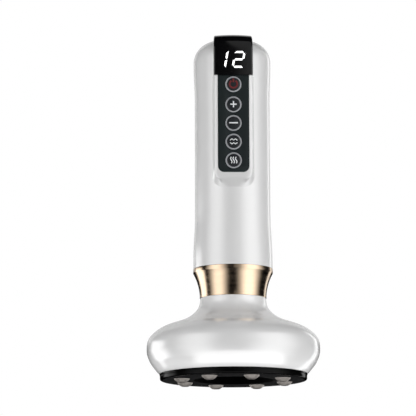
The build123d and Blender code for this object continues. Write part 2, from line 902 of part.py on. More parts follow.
def digit_bar(left, name):
    # Gives the six corners of one slanted bar of a digit
    half = digit_stroke / 2
    low = half
    middle = digit_height / 2
    high = digit_height - half
    near = half
    far = digit_width - half
    ends = {
        "a": ((near, high), (far, high)),
        "b": ((far, middle), (far, high)),
        "c": ((far, low), (far, middle)),
        "d": ((near, low), (far, low)),
        "e": ((near, low), (near, middle)),
        "g": ((near, middle), (far, middle)),
    }
    (x0, z0), (x1, z1) = ends[name]
    length = math.hypot(x1 - x0, z1 - z0)
    along = ((x1 - x0) / length, (z1 - z0) / length)
    across = (-along[1] * half, along[0] * half)
    corners = []
    for run, side in (
        (digit_gap, 0),
        (half + digit_gap, 1),
        (length - half - digit_gap, 1),
        (length - digit_gap, 0),
        (length - half - digit_gap, -1),
        (half + digit_gap, -1),
    ):
        x = x0 + along[0] * run + across[0] * side
        z = z0 + along[1] * run + across[1] * side
        corners.append((left + x + z * math.tan(math.radians(digit_slant)), digit_bottom + z))
    return corners


with BuildPart() as display_digits:
    with BuildSketch(Plane.XZ.offset(display_reach - digit_depth)):
        for left, bars in digit_places:
            for name in bars:
                Polygon(*digit_bar(left, name), align=None)
    extrude(amount=digit_depth)
save(display_digits.part, "display_digits")

# Display lens: a glossy cap that folds over the top of the handle
lens_arc = 11.0
lens_rear = 9.5
lens_rear_run = 2.7
lens_rear_height = 0.9
lens_crown = handle_top + display_rise
lens_edge = 0.7
lens_room_half = 9.2
lens_room_margin = 2.0
lens_room_bottom = module_bottom - lens_room_margin
lens_room_height = 15.6

with BuildPart() as display_lens:
    with BuildSketch(Plane.YZ):
        with BuildLine():
            Polyline(
                (-display_reach + lens_arc, lens_crown),
                (lens_rear - lens_rear_run, lens_crown),
                (lens_rear, lens_crown - lens_rear_height),
                (lens_rear, pad_top),
                (-display_reach, pad_top),
                (-display_reach, lens_crown - lens_arc),
            )
            RadiusArc(
                (-display_reach, lens_crown - lens_arc),
                (-display_reach + lens_arc, lens_crown),
                lens_arc,
            )
        make_face()
    extrude(amount=display_width / 2, both=True)
    rounded = [
        edge
        for edge in display_lens.edges()
        if edge.center().Z > pad_top + overrun
        and (edge.center().Y < -pad_reach or edge.center().Z > handle_top + overrun / 2)
        and abs(edge.center().X) > pad_half_width / 2
    ]
    fillet(rounded, lens_edge)
    add(handle_body.part, mode=Mode.SUBTRACT)
    with BuildSketch(Plane.XZ.offset(board_front)):
        with Locations((0, lens_room_bottom)):
            Rectangle(2 * lens_room_half, lens_room_height, align=(Align.CENTER, Align.MIN))
    extrude(amount=display_reach - lens_wall - board_front, mode=Mode.SUBTRACT)
    add(display_digits.part, mode=Mode.SUBTRACT)
save(display_lens.part, "display_lens")

# Main board behind the keys, with the display module on its front
board_corner = 1.2

with BuildPart() as main_board:
    with BuildSketch(Plane.XZ.offset(board_front)):
        with Locations((0, (board_bottom + board_top) / 2)):
            RectangleRounded(2 * board_half_width, board_top - board_bottom, board_corner)
        for height in board_screw_heights:
            with Locations((board_screw_offset, height), (-board_screw_offset, height)):
                Circle(board_screw_shank + snug_gap, mode=Mode.SUBTRACT)
    extrude(amount=-board_thickness)
save(main_board.part, "main_board")

module_corner = 0.8

with BuildPart() as display_module:
    with BuildSketch(Plane.XZ.offset(board_front)):
        with Locations((0, module_bottom + module_height / 2)):
            RectangleRounded(2 * module_half_width, module_height, module_corner)
    extrude(amount=module_front - board_front)
save(display_module.part, "display_module")

# Parts soldered to the back of the main board: x, share of its height, width, height, depth
connector_width = 4.6
connector_height = 4.0
connector_depth = 3.4
connector_rise = 1.5
connector_drop = 16.8
connector_bottom = board_bottom + connector_rise
battery_connector_bottom = board_top - connector_drop
motor_lead_offset = -lead_offset
board_back = board_front - board_thickness
chip_list = [
    (0, 0.48, 7.0, 7.0, 1.0),
    (-5.5, 0.23, 4.0, 5.0, 1.1),
    (4.5, 0.24, 5.0, 5.0, 2.4),
    (-6.0, 0.36, 3.2, 1.6, 1.0),
    (6.0, 0.36, 3.2, 1.6, 1.0),
    (-6.5, 0.64, 2.0, 4.0, 1.2),
    (0, 0.65, 6.4, 6.4, 2.8),
]

with BuildPart() as board_components:
    with BuildSketch(Plane.XZ.offset(board_back)):
        with Locations(
            (lead_offset, connector_bottom + connector_height / 2),
            (motor_lead_offset, connector_bottom + connector_height / 2),
            (0, battery_connector_bottom + connector_height / 2),
        ):
            Rectangle(connector_width, connector_height)
    extrude(amount=-connector_depth)
    for x, share, width, height, depth in chip_list:
        with BuildSketch(Plane.XZ.offset(board_back)):
            with Locations((x, board_bottom + share * (board_top - board_bottom))):
                Rectangle(width, height)
        extrude(amount=-depth)
save(board_components.part, "board_components")

# Snap domes under the keys, at the height that they have when pressed
dome_radius = 3.0
dome_height = 0.3

with BuildPart() as snap_domes:
    with BuildSketch(Plane.XZ.offset(board_front)):
        with Locations(*[(0, height) for height in key_heights]):
            Circle(dome_radius)
    extrude(amount=dome_height)
save(snap_domes.part, "snap_domes")

# Keys: a cap, a flange behind the key wall and a stem over the snap dome
key_proud = 0.35
key_edge = 0.45
key_face = ring_face + ring_height + key_proud
key_flange_radius = 4.6
key_flange_height = 0.8
key_flange_front = pocket_floor - key_wall - free_gap
key_stem_radius = 1.4
key_stem_tip = board_front + dome_height + key_travel + snug_gap
icon_depth = 0.25
icon_stroke = 0.6
icon_reach = 4.4
minus_reach = 5.7

# Zigzag and wave of the icons, as shares of half the icon's reach
zigzag_shares = [(-1.0, 0.3), (-0.46, 0.72), (0.0, 0.34), (0.46, 0.72), (1.0, 0.3)]
wave_shares = [(0.03, 1.0), (-0.22, 0.5), (0.0, 0.0), (0.22, -0.5), (0.0, -1.0)]
wave_spread_share = 0.65
power_radius = 2.2
power_gap_angle = 64.0
power_bar = 2.3


def icon_stroke_sketch(points, curved=False):
    with BuildSketch() as stroke:
        with BuildLine():
            if curved:
                Spline(*points)
            else:
                Polyline(*points)
        trace(line_width=icon_stroke)
        with Locations(*([points[0], points[-1]] if curved else points)):
            Circle(icon_stroke / 2)
    return stroke.sketch


def icon_sketch(name):
    half = icon_reach / 2
    with BuildSketch() as icon:
        if name == "power":
            with BuildLine():
                CenterArc((0, 0), power_radius, 90 + power_gap_angle / 2, 360 - power_gap_angle)
            trace(line_width=icon_stroke)
            with Locations((0, power_radius)):
                Rectangle(icon_stroke, power_bar)
        elif name in ("plus", "minus"):
            Rectangle(minus_reach if name == "minus" else icon_reach, icon_stroke)
            if name == "plus":
                Rectangle(icon_stroke, icon_reach)
        elif name == "suction":
            for side in (1, -1):
                add(icon_stroke_sketch([(x * half, side * z * half) for x, z in zigzag_shares]))
        else:
            for shift in (-wave_spread_share, 0, wave_spread_share):
                points = [((x + shift) * half, z * half) for x, z in wave_shares]
                add(icon_stroke_sketch(points, curved=True))
    return icon.sketch


for name, height in zip(key_names, key_heights):
    symbol = icon_sketch(name)
    with BuildPart() as icon:
        with BuildSketch(Plane.XZ.offset(key_face - icon_depth)):
            with Locations((0, height)):
                add(symbol)
        extrude(amount=icon_depth)
    with BuildPart() as button:
        with BuildSketch(Plane.XZ.offset(key_flange_front)):
            with Locations((0, height)):
                Circle(key_radius)
        extrude(amount=key_face - key_flange_front)
        fillet(button.edges().group_by(Axis.Y)[0], key_edge)
        with BuildSketch(Plane.XZ.offset(key_flange_front)):
            with Locations((0, height)):
                Circle(key_flange_radius)
        extrude(amount=-key_flange_height)
        with BuildSketch(Plane.XZ.offset(key_stem_tip)):
            with Locations((0, height)):
                Circle(key_stem_radius)
        extrude(amount=key_flange_front - key_flange_height - key_stem_tip)
        add(icon.part, mode=Mode.SUBTRACT)
    save(icon.part, "icon_" + name)
    save(button.part, "button_" + name)

# Board screws: four through the main board and two through the charging board
charge_screw_length = 2.7

with BuildPart() as board_screws:
    for height in board_screw_heights:
        for side in (-board_screw_offset, board_screw_offset):
            with BuildSketch(Plane.XZ.offset(board_back)):
                with Locations((side, height)):
                    Circle(board_screw_head)
            extrude(amount=-board_screw_head_height)
            with BuildSketch(Plane.XZ.offset(board_back)):
                with Locations((side, height)):
                    Circle(board_screw_shank)
            extrude(amount=board_screw_length)
    with BuildSketch(Plane.XY.offset(socket_bottom)):
        with Locations(*charge_screw_places):
            Circle(board_screw_head)
    extrude(amount=board_screw_head_height)
    with BuildSketch(Plane.XY.offset(socket_bottom)):
        with Locations(*charge_screw_places):
            Circle(board_screw_shank)
    extrude(amount=-charge_screw_length)
save(board_screws.part, "board_screws")

# Shell screws, put in from the rear, with a cross slot in each head
cross_length = 2.2
cross_width = 0.5
cross_depth = 0.6

with BuildPart() as shell_screws:
    for radius, start, length in (
        (shell_screw_head, shell_screw_seat, shell_screw_head_height),
        (shell_screw_shank, shell_screw_seat - shell_screw_length, shell_screw_length),
    ):
        with BuildSketch(Plane.XZ.offset(-start)):
            for height in shell_screw_heights:
                with Locations((shell_screw_offset, height), (-shell_screw_offset, height)):
                    Circle(radius)
        extrude(amount=-length)
    head_end = shell_screw_seat + shell_screw_head_height
    with BuildSketch(Plane.XZ.offset(-head_end)):
        for height in shell_screw_heights:
            with Locations((shell_screw_offset, height), (-shell_screw_offset, height)):
                Rectangle(cross_length, cross_width)
                Rectangle(cross_width, cross_length)
    extrude(amount=cross_depth, mode=Mode.SUBTRACT)
save(shell_screws.part, "shell_screws")

# Charging board on its shelf, with the socket at the rear wall
charge_board_half = 7.5
charge_board_front = 3.0
charge_board_rear = 17.6

with BuildPart() as charge_board:
    with BuildSketch(Plane.XY.offset(charge_board_bottom)):
        with Locations((0, (charge_board_front + charge_board_rear) / 2)):
            Rectangle(2 * charge_board_half, charge_board_rear - charge_board_front)
        with Locations(*charge_screw_places):
            Circle(board_screw_shank + snug_gap, mode=Mode.SUBTRACT)
    extrude(amount=charge_board_thickness)
save(charge_board.part, "charge_board")

socket_wall = 0.3
socket_cavity = 6.0
tongue_width = 6.7
tongue_thickness = 0.7
tongue_length = 4.5

with BuildPart() as charge_socket:
    with BuildSketch(Plane.XZ.offset(-socket_mouth)):
        with Locations((0, socket_centre)):
            RectangleRounded(socket_width, socket_height, socket_corner)
    extrude(amount=socket_depth)
    with BuildSketch(Plane.XZ.offset(-socket_mouth)):
        with Locations((0, socket_centre)):
            RectangleRounded(
                socket_width - 2 * socket_wall,
                socket_height - 2 * socket_wall,
                socket_corner - socket_wall,
            )
    extrude(amount=socket_cavity, mode=Mode.SUBTRACT)
    with BuildSketch(Plane.XZ.offset(socket_cavity - socket_mouth)):
        with Locations((0, socket_centre)):
            Rectangle(tongue_width, tongue_thickness)
    extrude(amount=-tongue_length)
save(charge_socket.part, "charge_socket")

# Battery: one standard 18650 cell in a cradle on the rear wall
cell_radius = 9.25
cell_full_length = 65.2
cell_headroom = 13.0
cell_gap = 1.7
cell_offset = 6.0
cell_cap_radius = 3.0
cell_cap_height = 0.6
cradle_wall = 1.4
cradle_end = 1.0
cell_bottom = socket_bottom + socket_height + cell_gap
cell_length = min(cell_full_length, handle_top - cell_headroom - cell_bottom)
cell_top = cell_bottom + cell_length
cradle_radius = cell_radius + snug_gap + cradle_wall
cradle_top = cell_top + snug_gap + cradle_end
cradle_bottom = cell_bottom - snug_gap - cradle_end
cradle_foot_half = 4.0
cradle_foot_height = 5.0
cradle_foot_shares = [0.153, 0.736]

with BuildPart() as battery_cell:
    with BuildSketch(Plane.XY.offset(cell_bottom)):
        with Locations((0, cell_offset)):
            Circle(cell_radius)
    extrude(amount=cell_length - cell_cap_height)
    with BuildSketch(Plane.XY.offset(cell_top - cell_cap_height)):
        with Locations((0, cell_offset)):
            Circle(cell_cap_radius)
    extrude(amount=cell_cap_height)
save(battery_cell.part, "battery_cell")

with BuildPart() as battery_cradle:
    with BuildSketch(Plane.XY.offset(cradle_bottom)):
        with Locations((0, cell_offset)):
            Circle(cradle_radius)
    extrude(amount=cradle_top - cradle_bottom)
    with BuildSketch(Plane.XY.offset(cell_bottom - snug_gap)):
        with Locations((0, cell_offset)):
            Circle(cell_radius + snug_gap)
        with Locations((0, cell_offset)):
            Rectangle(2 * handle_reach, handle_reach, align=(Align.CENTER, Align.MAX))
    extrude(amount=cell_length + 2 * snug_gap, mode=Mode.SUBTRACT)
    foot_end = math.sqrt((grip_radius - handle_wall) ** 2 - cradle_foot_half**2) - snug_gap
    for share in cradle_foot_shares:
        with BuildSketch(Plane.XY.offset(cradle_bottom + share * cell_length)):
            with Locations((0, cell_offset + cell_radius + cradle_wall / 2)):
                Rectangle(
                    2 * cradle_foot_half,
                    foot_end - cell_offset - cell_radius - cradle_wall / 2,
                    align=(Align.CENTER, Align.MIN),
                )
        extrude(amount=cradle_foot_height)
save(battery_cradle.part, "battery_cradle")

# Vacuum pump, hung nose down: cover, valve plate, diaphragm and base, held by three screws
pump_radius = 13.0
pump_bottom = damper_bottom - rib_thickness
cover_height = 5.0
valve_plate_height = 1.6
diaphragm_height = 1.8
base_height = 8.6
base_wall = 2.8
base_top_wall = 1.6
chamber_count = 3
pump_chamber_circle = 6.0
diaphragm_cup_radius = 2.8
diaphragm_cup_height = 2.0
diaphragm_wall = 0.8
pump_screw_circle = 11.3
pump_screw_shank = 0.8
pump_screw_head = 1.3
pump_screw_head_height = 1.2
pump_screw_length = 13.0
pump_nipple_length = 5.5
cover_room_radius = 8.8
cover_room_depth = 2.4
cover_top = pump_bottom + cover_height
valve_plate_top = cover_top + valve_plate_height
diaphragm_top = valve_plate_top + diaphragm_height
base_top = diaphragm_top + base_height
pump_screw_places = [polar(pump_screw_circle, 90 + k * 360 / 3) for k in range(3)]
chamber_places = [
    polar(pump_chamber_circle, 30 + k * 360 / chamber_count) for k in range(chamber_count)
]

with BuildPart() as pump_cover:
    with BuildSketch(Plane.XY.offset(pump_bottom)):
        Circle(pump_radius)
    extrude(amount=cover_height)
    with BuildSketch(Plane.XY.offset(pump_bottom)):
        with Locations((hose_offset, 0)):
            Circle(nipple_radius)
    extrude(amount=-pump_nipple_length)
    with BuildSketch(Plane.XY.offset(cover_top)):
        Circle(cover_room_radius)
    extrude(amount=-cover_room_depth, mode=Mode.SUBTRACT)
    with BuildSketch(Plane.XY.offset(cover_top)):
        with Locations((hose_offset, 0)):
            Circle(port_radius)
    extrude(amount=-(cover_height + pump_nipple_length + overrun), mode=Mode.SUBTRACT)
    with BuildSketch(Plane.XY.offset(pump_bottom)):
        with Locations(*pump_screw_places):
            Circle(pump_screw_head + snug_gap)
    extrude(amount=pump_screw_head_height, mode=Mode.SUBTRACT)
    with BuildSketch(Plane.XY.offset(pump_bottom)):
        with Locations(*pump_screw_places):
            Circle(pump_screw_shank + screw_fit)
    extrude(amount=cover_height, mode=Mode.SUBTRACT)
save(pump_cover.part, "pump_cover")

with BuildPart() as pump_valve_plate:
    with BuildSketch(Plane.XY.offset(cover_top)):
        Circle(pump_radius)
        with Locations(*pump_screw_places):
            Circle(pump_screw_shank + screw_fit, mode=Mode.SUBTRACT)
        with Locations(*chamber_places):
            Circle(port_radius, mode=Mode.SUBTRACT)
    extrude(amount=valve_plate_height)
save(pump_valve_plate.part, "pump_valve_plate")

with BuildPart() as pump_diaphragm:
    with BuildSketch(Plane.XY.offset(valve_plate_top)):
        Circle(pump_radius)
        with Locations(*pump_screw_places):
            Circle(pump_screw_shank + screw_fit, mode=Mode.SUBTRACT)
    extrude(amount=diaphragm_height)
    with BuildSketch(Plane.XY.offset(diaphragm_top)):
        with Locations(*chamber_places):
            Circle(diaphragm_cup_radius)
    extrude(amount=diaphragm_cup_height)
    with BuildSketch(Plane.XY.offset(valve_plate_top)):
        with Locations(*chamber_places):
            Circle(diaphragm_cup_radius - diaphragm_wall)
    extrude(
        amount=diaphragm_height + diaphragm_cup_height - diaphragm_wall,
        mode=Mode.SUBTRACT,
    )
save(pump_diaphragm.part, "pump_diaphragm")

motor_boss_radius = 3.0

with BuildPart() as pump_base:
    with BuildSketch(Plane.XY.offset(diaphragm_top)):
        Circle(pump_radius)
    extrude(amount=base_height)
    with BuildSketch(Plane.XY.offset(diaphragm_top)):
        Circle(pump_radius - base_wall)
    extrude(amount=base_height - base_top_wall, mode=Mode.SUBTRACT)
    with BuildSketch(Plane.XY.offset(diaphragm_top)):
        Circle(motor_boss_radius + snug_gap)
    extrude(amount=base_height + overrun, mode=Mode.SUBTRACT)
    with BuildSketch(Plane.XY.offset(diaphragm_top)):
        with Locations(*pump_screw_places):
            Circle(pump_screw_shank + screw_fit)
    extrude(amount=base_height - base_top_wall, mode=Mode.SUBTRACT)
save(pump_base.part, "pump_base")

with BuildPart() as pump_screws:
    screw_start = pump_bottom + pump_screw_head_height
    with BuildSketch(Plane.XY.offset(pump_bottom)):
        with Locations(*pump_screw_places):
            Circle(pump_screw_head)
    extrude(amount=pump_screw_head_height)
    with BuildSketch(Plane.XY.offset(screw_start)):
        with Locations(*pump_screw_places):
            Circle(pump_screw_shank)
    extrude(amount=pump_screw_length)
save(pump_screws.part, "pump_screws")

# Wobble plate on the diaphragm cups, driven by the crank's pin
wobble_radius = 8.8
wobble_height = 1.2
crank_radius = 4.6
crank_height = 2.4
crank_throw = 2.0
crank_pin_radius = 0.7
crank_pin_reach = 2.0
shaft_radius = 1.0
bearing_fit = 0.05
wobble_bottom = diaphragm_top + diaphragm_cup_height
wobble_bore = crank_throw + crank_pin_radius + free_gap + snug_gap
crank_bottom = wobble_bottom + wobble_height + 2 * free_gap

with BuildPart() as wobble_plate:
    with BuildSketch(Plane.XY.offset(wobble_bottom)):
        Circle(wobble_radius)
        Circle(wobble_bore, mode=Mode.SUBTRACT)
    extrude(amount=wobble_height)
save(wobble_plate.part, "wobble_plate")

with BuildPart() as pump_crank:
    with BuildSketch(Plane.XY.offset(crank_bottom)):
        Circle(crank_radius)
    extrude(amount=crank_height)
    with BuildSketch(Plane.XY.offset(crank_bottom - crank_pin_reach)):
        with Locations((crank_throw, 0)):
            Circle(crank_pin_radius)
    extrude(amount=crank_pin_reach)
    with BuildSketch(Plane.XY.offset(crank_bottom + crank_height / 3)):
        Circle(shaft_radius)
    extrude(amount=crank_height, mode=Mode.SUBTRACT)
save(pump_crank.part, "pump_crank")

# Motor over the pump: can, magnets, armature on its shaft and an end bell
motor_radius = 10.2
motor_length = 18.0
motor_wall = 0.9
motor_floor = 0.8
motor_boss_height = 0.8
magnet_thickness = 1.8
magnet_length = 13.0
magnet_start = 2.0
magnet_arc = 130.0
armature_gap = 0.5
armature_length = 10.0
armature_start = 3.4
armature_slots = 3
armature_slot_width = 1.2
armature_slot_depth = 3.2
commutator_radius = 2.6
commutator_length = 2.8
commutator_gap = 0.8
endbell_height = 1.6
endbell_plug = 0.8
motor_bottom = base_top
motor_top = motor_bottom + motor_length
endbell_top = motor_top + endbell_height
magnet_inner = motor_radius - motor_wall - snug_gap - magnet_thickness
armature_radius = magnet_inner - armature_gap

with BuildPart() as motor_can:
    with BuildSketch(Plane.XY.offset(motor_bottom)):
        Circle(motor_radius)
    extrude(amount=motor_length)
    with BuildSketch(Plane.XY.offset(motor_bottom - motor_boss_height)):
        Circle(motor_boss_radius)
    extrude(amount=motor_boss_height)
    with BuildSketch(Plane.XY.offset(motor_bottom + motor_floor)):
        Circle(motor_radius - motor_wall)
    extrude(amount=motor_length, mode=Mode.SUBTRACT)
    with BuildSketch(Plane.XY.offset(motor_bottom - motor_boss_height - overrun)):
        Circle(shaft_radius + bearing_fit)
    extrude(amount=motor_boss_height + motor_floor + 2 * overrun, mode=Mode.SUBTRACT)
save(motor_can.part, "motor_can")

with BuildPart() as motor_magnets:
    for start in (-magnet_arc / 2, 180 - magnet_arc / 2):
        low = motor_bottom + magnet_start
        with BuildSketch(Plane.XZ.rotated((0, 0, start))):
            with Locations((magnet_inner, low)):
                Rectangle(magnet_thickness, magnet_length, align=Align.MIN)
        revolve(axis=Axis.Z, revolution_arc=magnet_arc)
save(motor_magnets.part, "motor_magnets")

with BuildPart() as motor_armature:
    armature_bottom = motor_bottom + armature_start
    commutator_bottom = armature_bottom + armature_length
    with BuildSketch(Plane.XY.offset(armature_bottom)):
        Circle(armature_radius)
        for k in range(armature_slots):
            with Locations(polar(armature_radius, k * 360 / armature_slots)):
                Rectangle(
                    2 * armature_slot_depth,
                    armature_slot_width,
                    rotation=k * 360 / armature_slots,
                    mode=Mode.SUBTRACT,
                )
    extrude(amount=armature_length)
    with BuildSketch(Plane.XY.offset(commutator_bottom)):
        Circle(commutator_radius)
    extrude(amount=commutator_length)
    with BuildSketch(Plane.XY.offset(armature_bottom - overrun)):
        Circle(shaft_radius)
    extrude(amount=armature_length + commutator_length + 2 * overrun, mode=Mode.SUBTRACT)
save(motor_armature.part, "motor_armature")

shaft_bottom = crank_bottom + crank_height / 3
shaft_top = endbell_top - motor_floor / 2 - bearing_fit

with BuildPart() as motor_shaft:
    with BuildSketch(Plane.XY.offset(shaft_bottom)):
        Circle(shaft_radius)
    extrude(amount=shaft_top - shaft_bottom)
save(motor_shaft.part, "motor_shaft")

with BuildPart() as motor_endbell:
    with BuildSketch(Plane.XY.offset(motor_top)):
        Circle(motor_radius)
    extrude(amount=endbell_height)
    with BuildSketch(Plane.XY.offset(motor_top - endbell_plug)):
        Circle(motor_radius - motor_wall - snug_gap)
    extrude(amount=endbell_plug)
    with BuildSketch(Plane.XY.offset(motor_top - endbell_plug - overrun)):
        Circle(shaft_radius + bearing_fit)
    extrude(
        amount=endbell_plug + overrun + endbell_height - motor_floor / 2,
        mode=Mode.SUBTRACT,
    )
save(motor_endbell.part, "motor_endbell")

# Rubber damper between the two ring ribs
damper_gap = 0.9

with BuildPart() as pump_damper:
    with BuildSketch(Plane.XY.offset(damper_bottom)):
        Circle(foot_radius - handle_wall - damper_gap)
        Circle(pump_radius, mode=Mode.SUBTRACT)
        with Locations(polar(lead_path_radius, lead_path_angle)):
            Rectangle(
                lead_notch_depth,
                lead_notch_width,
                rotation=lead_path_angle,
                mode=Mode.SUBTRACT,
            )
    extrude(amount=damper_height)
save(pump_damper.part, "pump_damper")

# Silicone hose from the cup's nipple to the pump's nipple
hose_radius = 3.2
hose_bottom = boss_top + snug_gap
hose_top = pump_bottom - slide_gap

with BuildPart() as suction_hose:
    with BuildSketch(Plane.XY.offset(hose_bottom)):
        with Locations((hose_offset, 0)):
            Circle(hose_radius)
            Circle(nipple_radius + bearing_fit, mode=Mode.SUBTRACT)
    extrude(amount=hose_top - hose_bottom)
save(suction_hose.part, "suction_hose")

# Leads: pairs of thin wires, each a path of straight runs and tangent arcs
lead_radius = 0.6
lead_spread = 0.75


def lead_pair(points, radii, spread):
    with BuildPart() as pair:
        for side in (-1, 1):
            shift = Vector(*spread) * side
            path_points = [Vector(*point) + shift for point in points]
            with BuildLine() as path:
                FilletPolyline(*path_points, radius=radii)
            with BuildSketch(Plane(origin=path.line @ 0, z_dir=path.line % 0)):
                Circle(lead_radius)
            sweep()
    return pair.part


neck_lead_radius = 12.4
neck_turn_drop = 1.4
neck_turn_rise = 1.1
head_turn_drop = 5.2
neck_turn_high = pump_bottom - neck_turn_drop
neck_turn_low = floor_top + neck_turn_rise
head_turn_high = neck_height - head_turn_drop
head_turn_low = 25.0
cup_lead_reach = 2.4
cup_lead_radius = mouth_radius + cup_lead_reach
cup_lead_height = 8.8
head_lead_radii = [6.0, 6.0, 8.0, 8.0, 3.4]
battery_lead_rise = 4.8
battery_lead_radii = [3.6, 5.0]
motor_lead_start = 6.0
motor_lead_rise = 1.7
motor_lead_height = connector_bottom + motor_lead_rise
motor_lead_radii = [3.6]

head_leads = lead_pair(
    [
        (lead_offset, -lead_reach, connector_bottom),
        (lead_offset, -lead_reach, neck_turn_high),
        (*polar(neck_lead_radius, lead_path_angle), neck_turn_low),
        (*polar(neck_lead_radius, lead_path_angle), head_turn_high),
        (*polar(cup_lead_radius, lead_angle), head_turn_low),
        (*polar(cup_lead_radius, lead_angle), cup_lead_height),
        (*polar(terminal_inner, lead_angle), cup_lead_height),
    ],
    head_lead_radii,
    (*polar(lead_spread, lead_angle + 90), 0),
)
save(head_leads, "head_leads")

connector_reach = board_back - connector_depth / 2
battery_leads = lead_pair(
    [
        (0, 0, cradle_top),
        (0, 0, cradle_top + battery_lead_rise),
        (0, -connector_reach, cradle_top + battery_lead_rise),
        (0, -connector_reach, battery_connector_bottom + connector_height),
    ],
    battery_lead_radii,
    (lead_spread, 0, 0),
)
save(battery_leads, "battery_leads")

motor_leads = lead_pair(
    [
        (motor_lead_offset, -motor_lead_start, endbell_top),
        (motor_lead_offset, -motor_lead_start, motor_lead_height),
        (motor_lead_offset, connector_depth - board_back, motor_lead_height),
    ],
    motor_lead_radii,
    (lead_spread, 0, 0),
)
save(motor_leads, "motor_leads")
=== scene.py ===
import json
from math import asin, atan, atan2, cos, degrees, hypot, pi, radians, sin, sqrt, tan

import bmesh
import bpy
import numpy as np
from mathutils import Matrix, Vector


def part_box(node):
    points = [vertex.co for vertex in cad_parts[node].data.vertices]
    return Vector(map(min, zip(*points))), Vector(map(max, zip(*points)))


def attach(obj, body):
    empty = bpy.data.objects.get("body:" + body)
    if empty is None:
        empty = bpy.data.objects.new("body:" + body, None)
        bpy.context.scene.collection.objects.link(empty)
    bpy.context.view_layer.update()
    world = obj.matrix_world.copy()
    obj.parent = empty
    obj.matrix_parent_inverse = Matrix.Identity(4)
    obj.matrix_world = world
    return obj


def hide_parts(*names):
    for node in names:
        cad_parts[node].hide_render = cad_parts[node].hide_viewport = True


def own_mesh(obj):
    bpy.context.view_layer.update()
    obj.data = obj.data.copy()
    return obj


# Suction massager, head down on its beads, front towards -Y
# Lengths are millimetres until a mesh is built

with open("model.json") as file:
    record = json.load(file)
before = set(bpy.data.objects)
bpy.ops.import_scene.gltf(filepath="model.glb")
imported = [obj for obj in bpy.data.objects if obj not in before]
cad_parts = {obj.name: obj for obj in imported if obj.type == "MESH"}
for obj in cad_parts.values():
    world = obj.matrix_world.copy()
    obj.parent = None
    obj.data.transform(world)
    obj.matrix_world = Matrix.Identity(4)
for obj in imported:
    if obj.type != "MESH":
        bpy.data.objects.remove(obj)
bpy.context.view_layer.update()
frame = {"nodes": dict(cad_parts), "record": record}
mm = 0.001


def nodeBox(name):  # lowest and highest corner of a CAD node, in millimetres
    low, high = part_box(name)
    return low / mm, high / mm


headLow, headHigh = nodeBox("head_shell")
collarLow, collarHigh = nodeBox("collar")
rimLow, rimHigh = nodeBox("rim_ring")
plateLow, plateHigh = nodeBox("contact_plate")
rearHigh = nodeBox("rear_shell")[1]
lensLow, lensHigh = nodeBox("display_lens")
panelLow, panelHigh = nodeBox("key_panel")
print("frame loaded:", len(frame["nodes"]), "nodes")


# Curves and profiles

def curveThrough(points, count):  # smooth line through the points, free at both ends
    p = np.array(points, float)
    t = np.concatenate([[0.0], np.cumsum(np.linalg.norm(np.diff(p, axis=0), axis=1))])
    h = np.diff(t)
    n = len(p)
    a = np.eye(n)
    b = np.zeros((n, p.shape[1]))
    for k in range(1, n - 1):
        a[k, k - 1] = h[k - 1]
        a[k, k] = 2 * (h[k - 1] + h[k])
        a[k, k + 1] = h[k]
        b[k] = 6 * ((p[k + 1] - p[k]) / h[k] - (p[k] - p[k - 1]) / h[k - 1])
    m = np.linalg.solve(a, b)
    made = []
    for s in np.linspace(0, t[-1], count):
        k = min(int(np.searchsorted(t, s, side="right")) - 1, n - 2)
        u, v = s - t[k], t[k + 1] - s
        made.append(tuple(
            (m[k] * v**3 + m[k + 1] * u**3) / (6 * h[k])
            + (p[k] / h[k] - m[k] * h[k] / 6) * v
            + (p[k + 1] / h[k] - m[k + 1] * h[k] / 6) * u
        ))
    return made


def steppedAngles(start, end, count):  # degrees in, radians out
    return [radians(start + (end - start) * k / count) for k in range(count + 1)]


def arcPoints(centre, radius, start, end, count):
    x, y = centre
    return [(x + radius * cos(a), y + radius * sin(a)) for a in steppedAngles(start, end, count)]


def offsetLine(points, inset):  # moves a line to its left by the inset
    made = []
    for k, (x, y) in enumerate(points):
        before, after = points[max(k - 1, 0)], points[min(k + 1, len(points) - 1)]
        run, climb = after[0] - before[0], after[1] - before[1]
        length = hypot(run, climb)
        made.append((x - inset * climb / length, y + inset * run / length))
    return made


def softened(points, radius, steps=3, angle=25):  # rounds the sharp corners of a closed outline
    made = []
    count = len(points)
    for k in range(count):
        here = Vector(points[k])
        back = Vector(points[k - 1]) - here
        ahead = Vector(points[(k + 1) % count]) - here
        turn = pi - back.angle(ahead, pi)
        reach = min(radius, back.length * 0.45, ahead.length * 0.45)
        if degrees(turn) < angle or here.x < 1e-6:
            made.append(tuple(here))
            continue
        first, last = here + back.normalized() * reach, here + ahead.normalized() * reach
        for j in range(steps + 1):
            t = j / steps
            made.append(tuple(first * (1 - t) ** 2 + here * 2 * t * (1 - t) + last * t * t))
    return made


# Meshes

def linked(name, data):  # an object in the scene for a mesh, a curve or a camera
    made = bpy.data.objects.new(name, data)
    bpy.context.scene.collection.objects.link(made)
    return made


def meshPiece(name, verts, faces):  # vertices in millimetres
    mesh = bpy.data.meshes.new(name)
    mesh.from_pydata([tuple(c * mm for c in v) for v in verts], [], faces)
    tidyMesh(mesh)
    smoothMesh(mesh)
    return linked(name, mesh)


def tidyMesh(mesh):
    mergeDistance = 1e-7
    work = bmesh.new()
    work.from_mesh(mesh)
    bmesh.ops.remove_doubles(work, verts=work.verts, dist=mergeDistance)
    bmesh.ops.dissolve_degenerate(work, edges=work.edges, dist=mergeDistance)
    bmesh.ops.recalc_face_normals(work, faces=work.faces)
    work.to_mesh(mesh)
    work.free()


def smoothMesh(mesh, sharpAngle=32):
    mesh.shade_smooth()
    mesh.set_sharp_from_angle(angle=radians(sharpAngle))


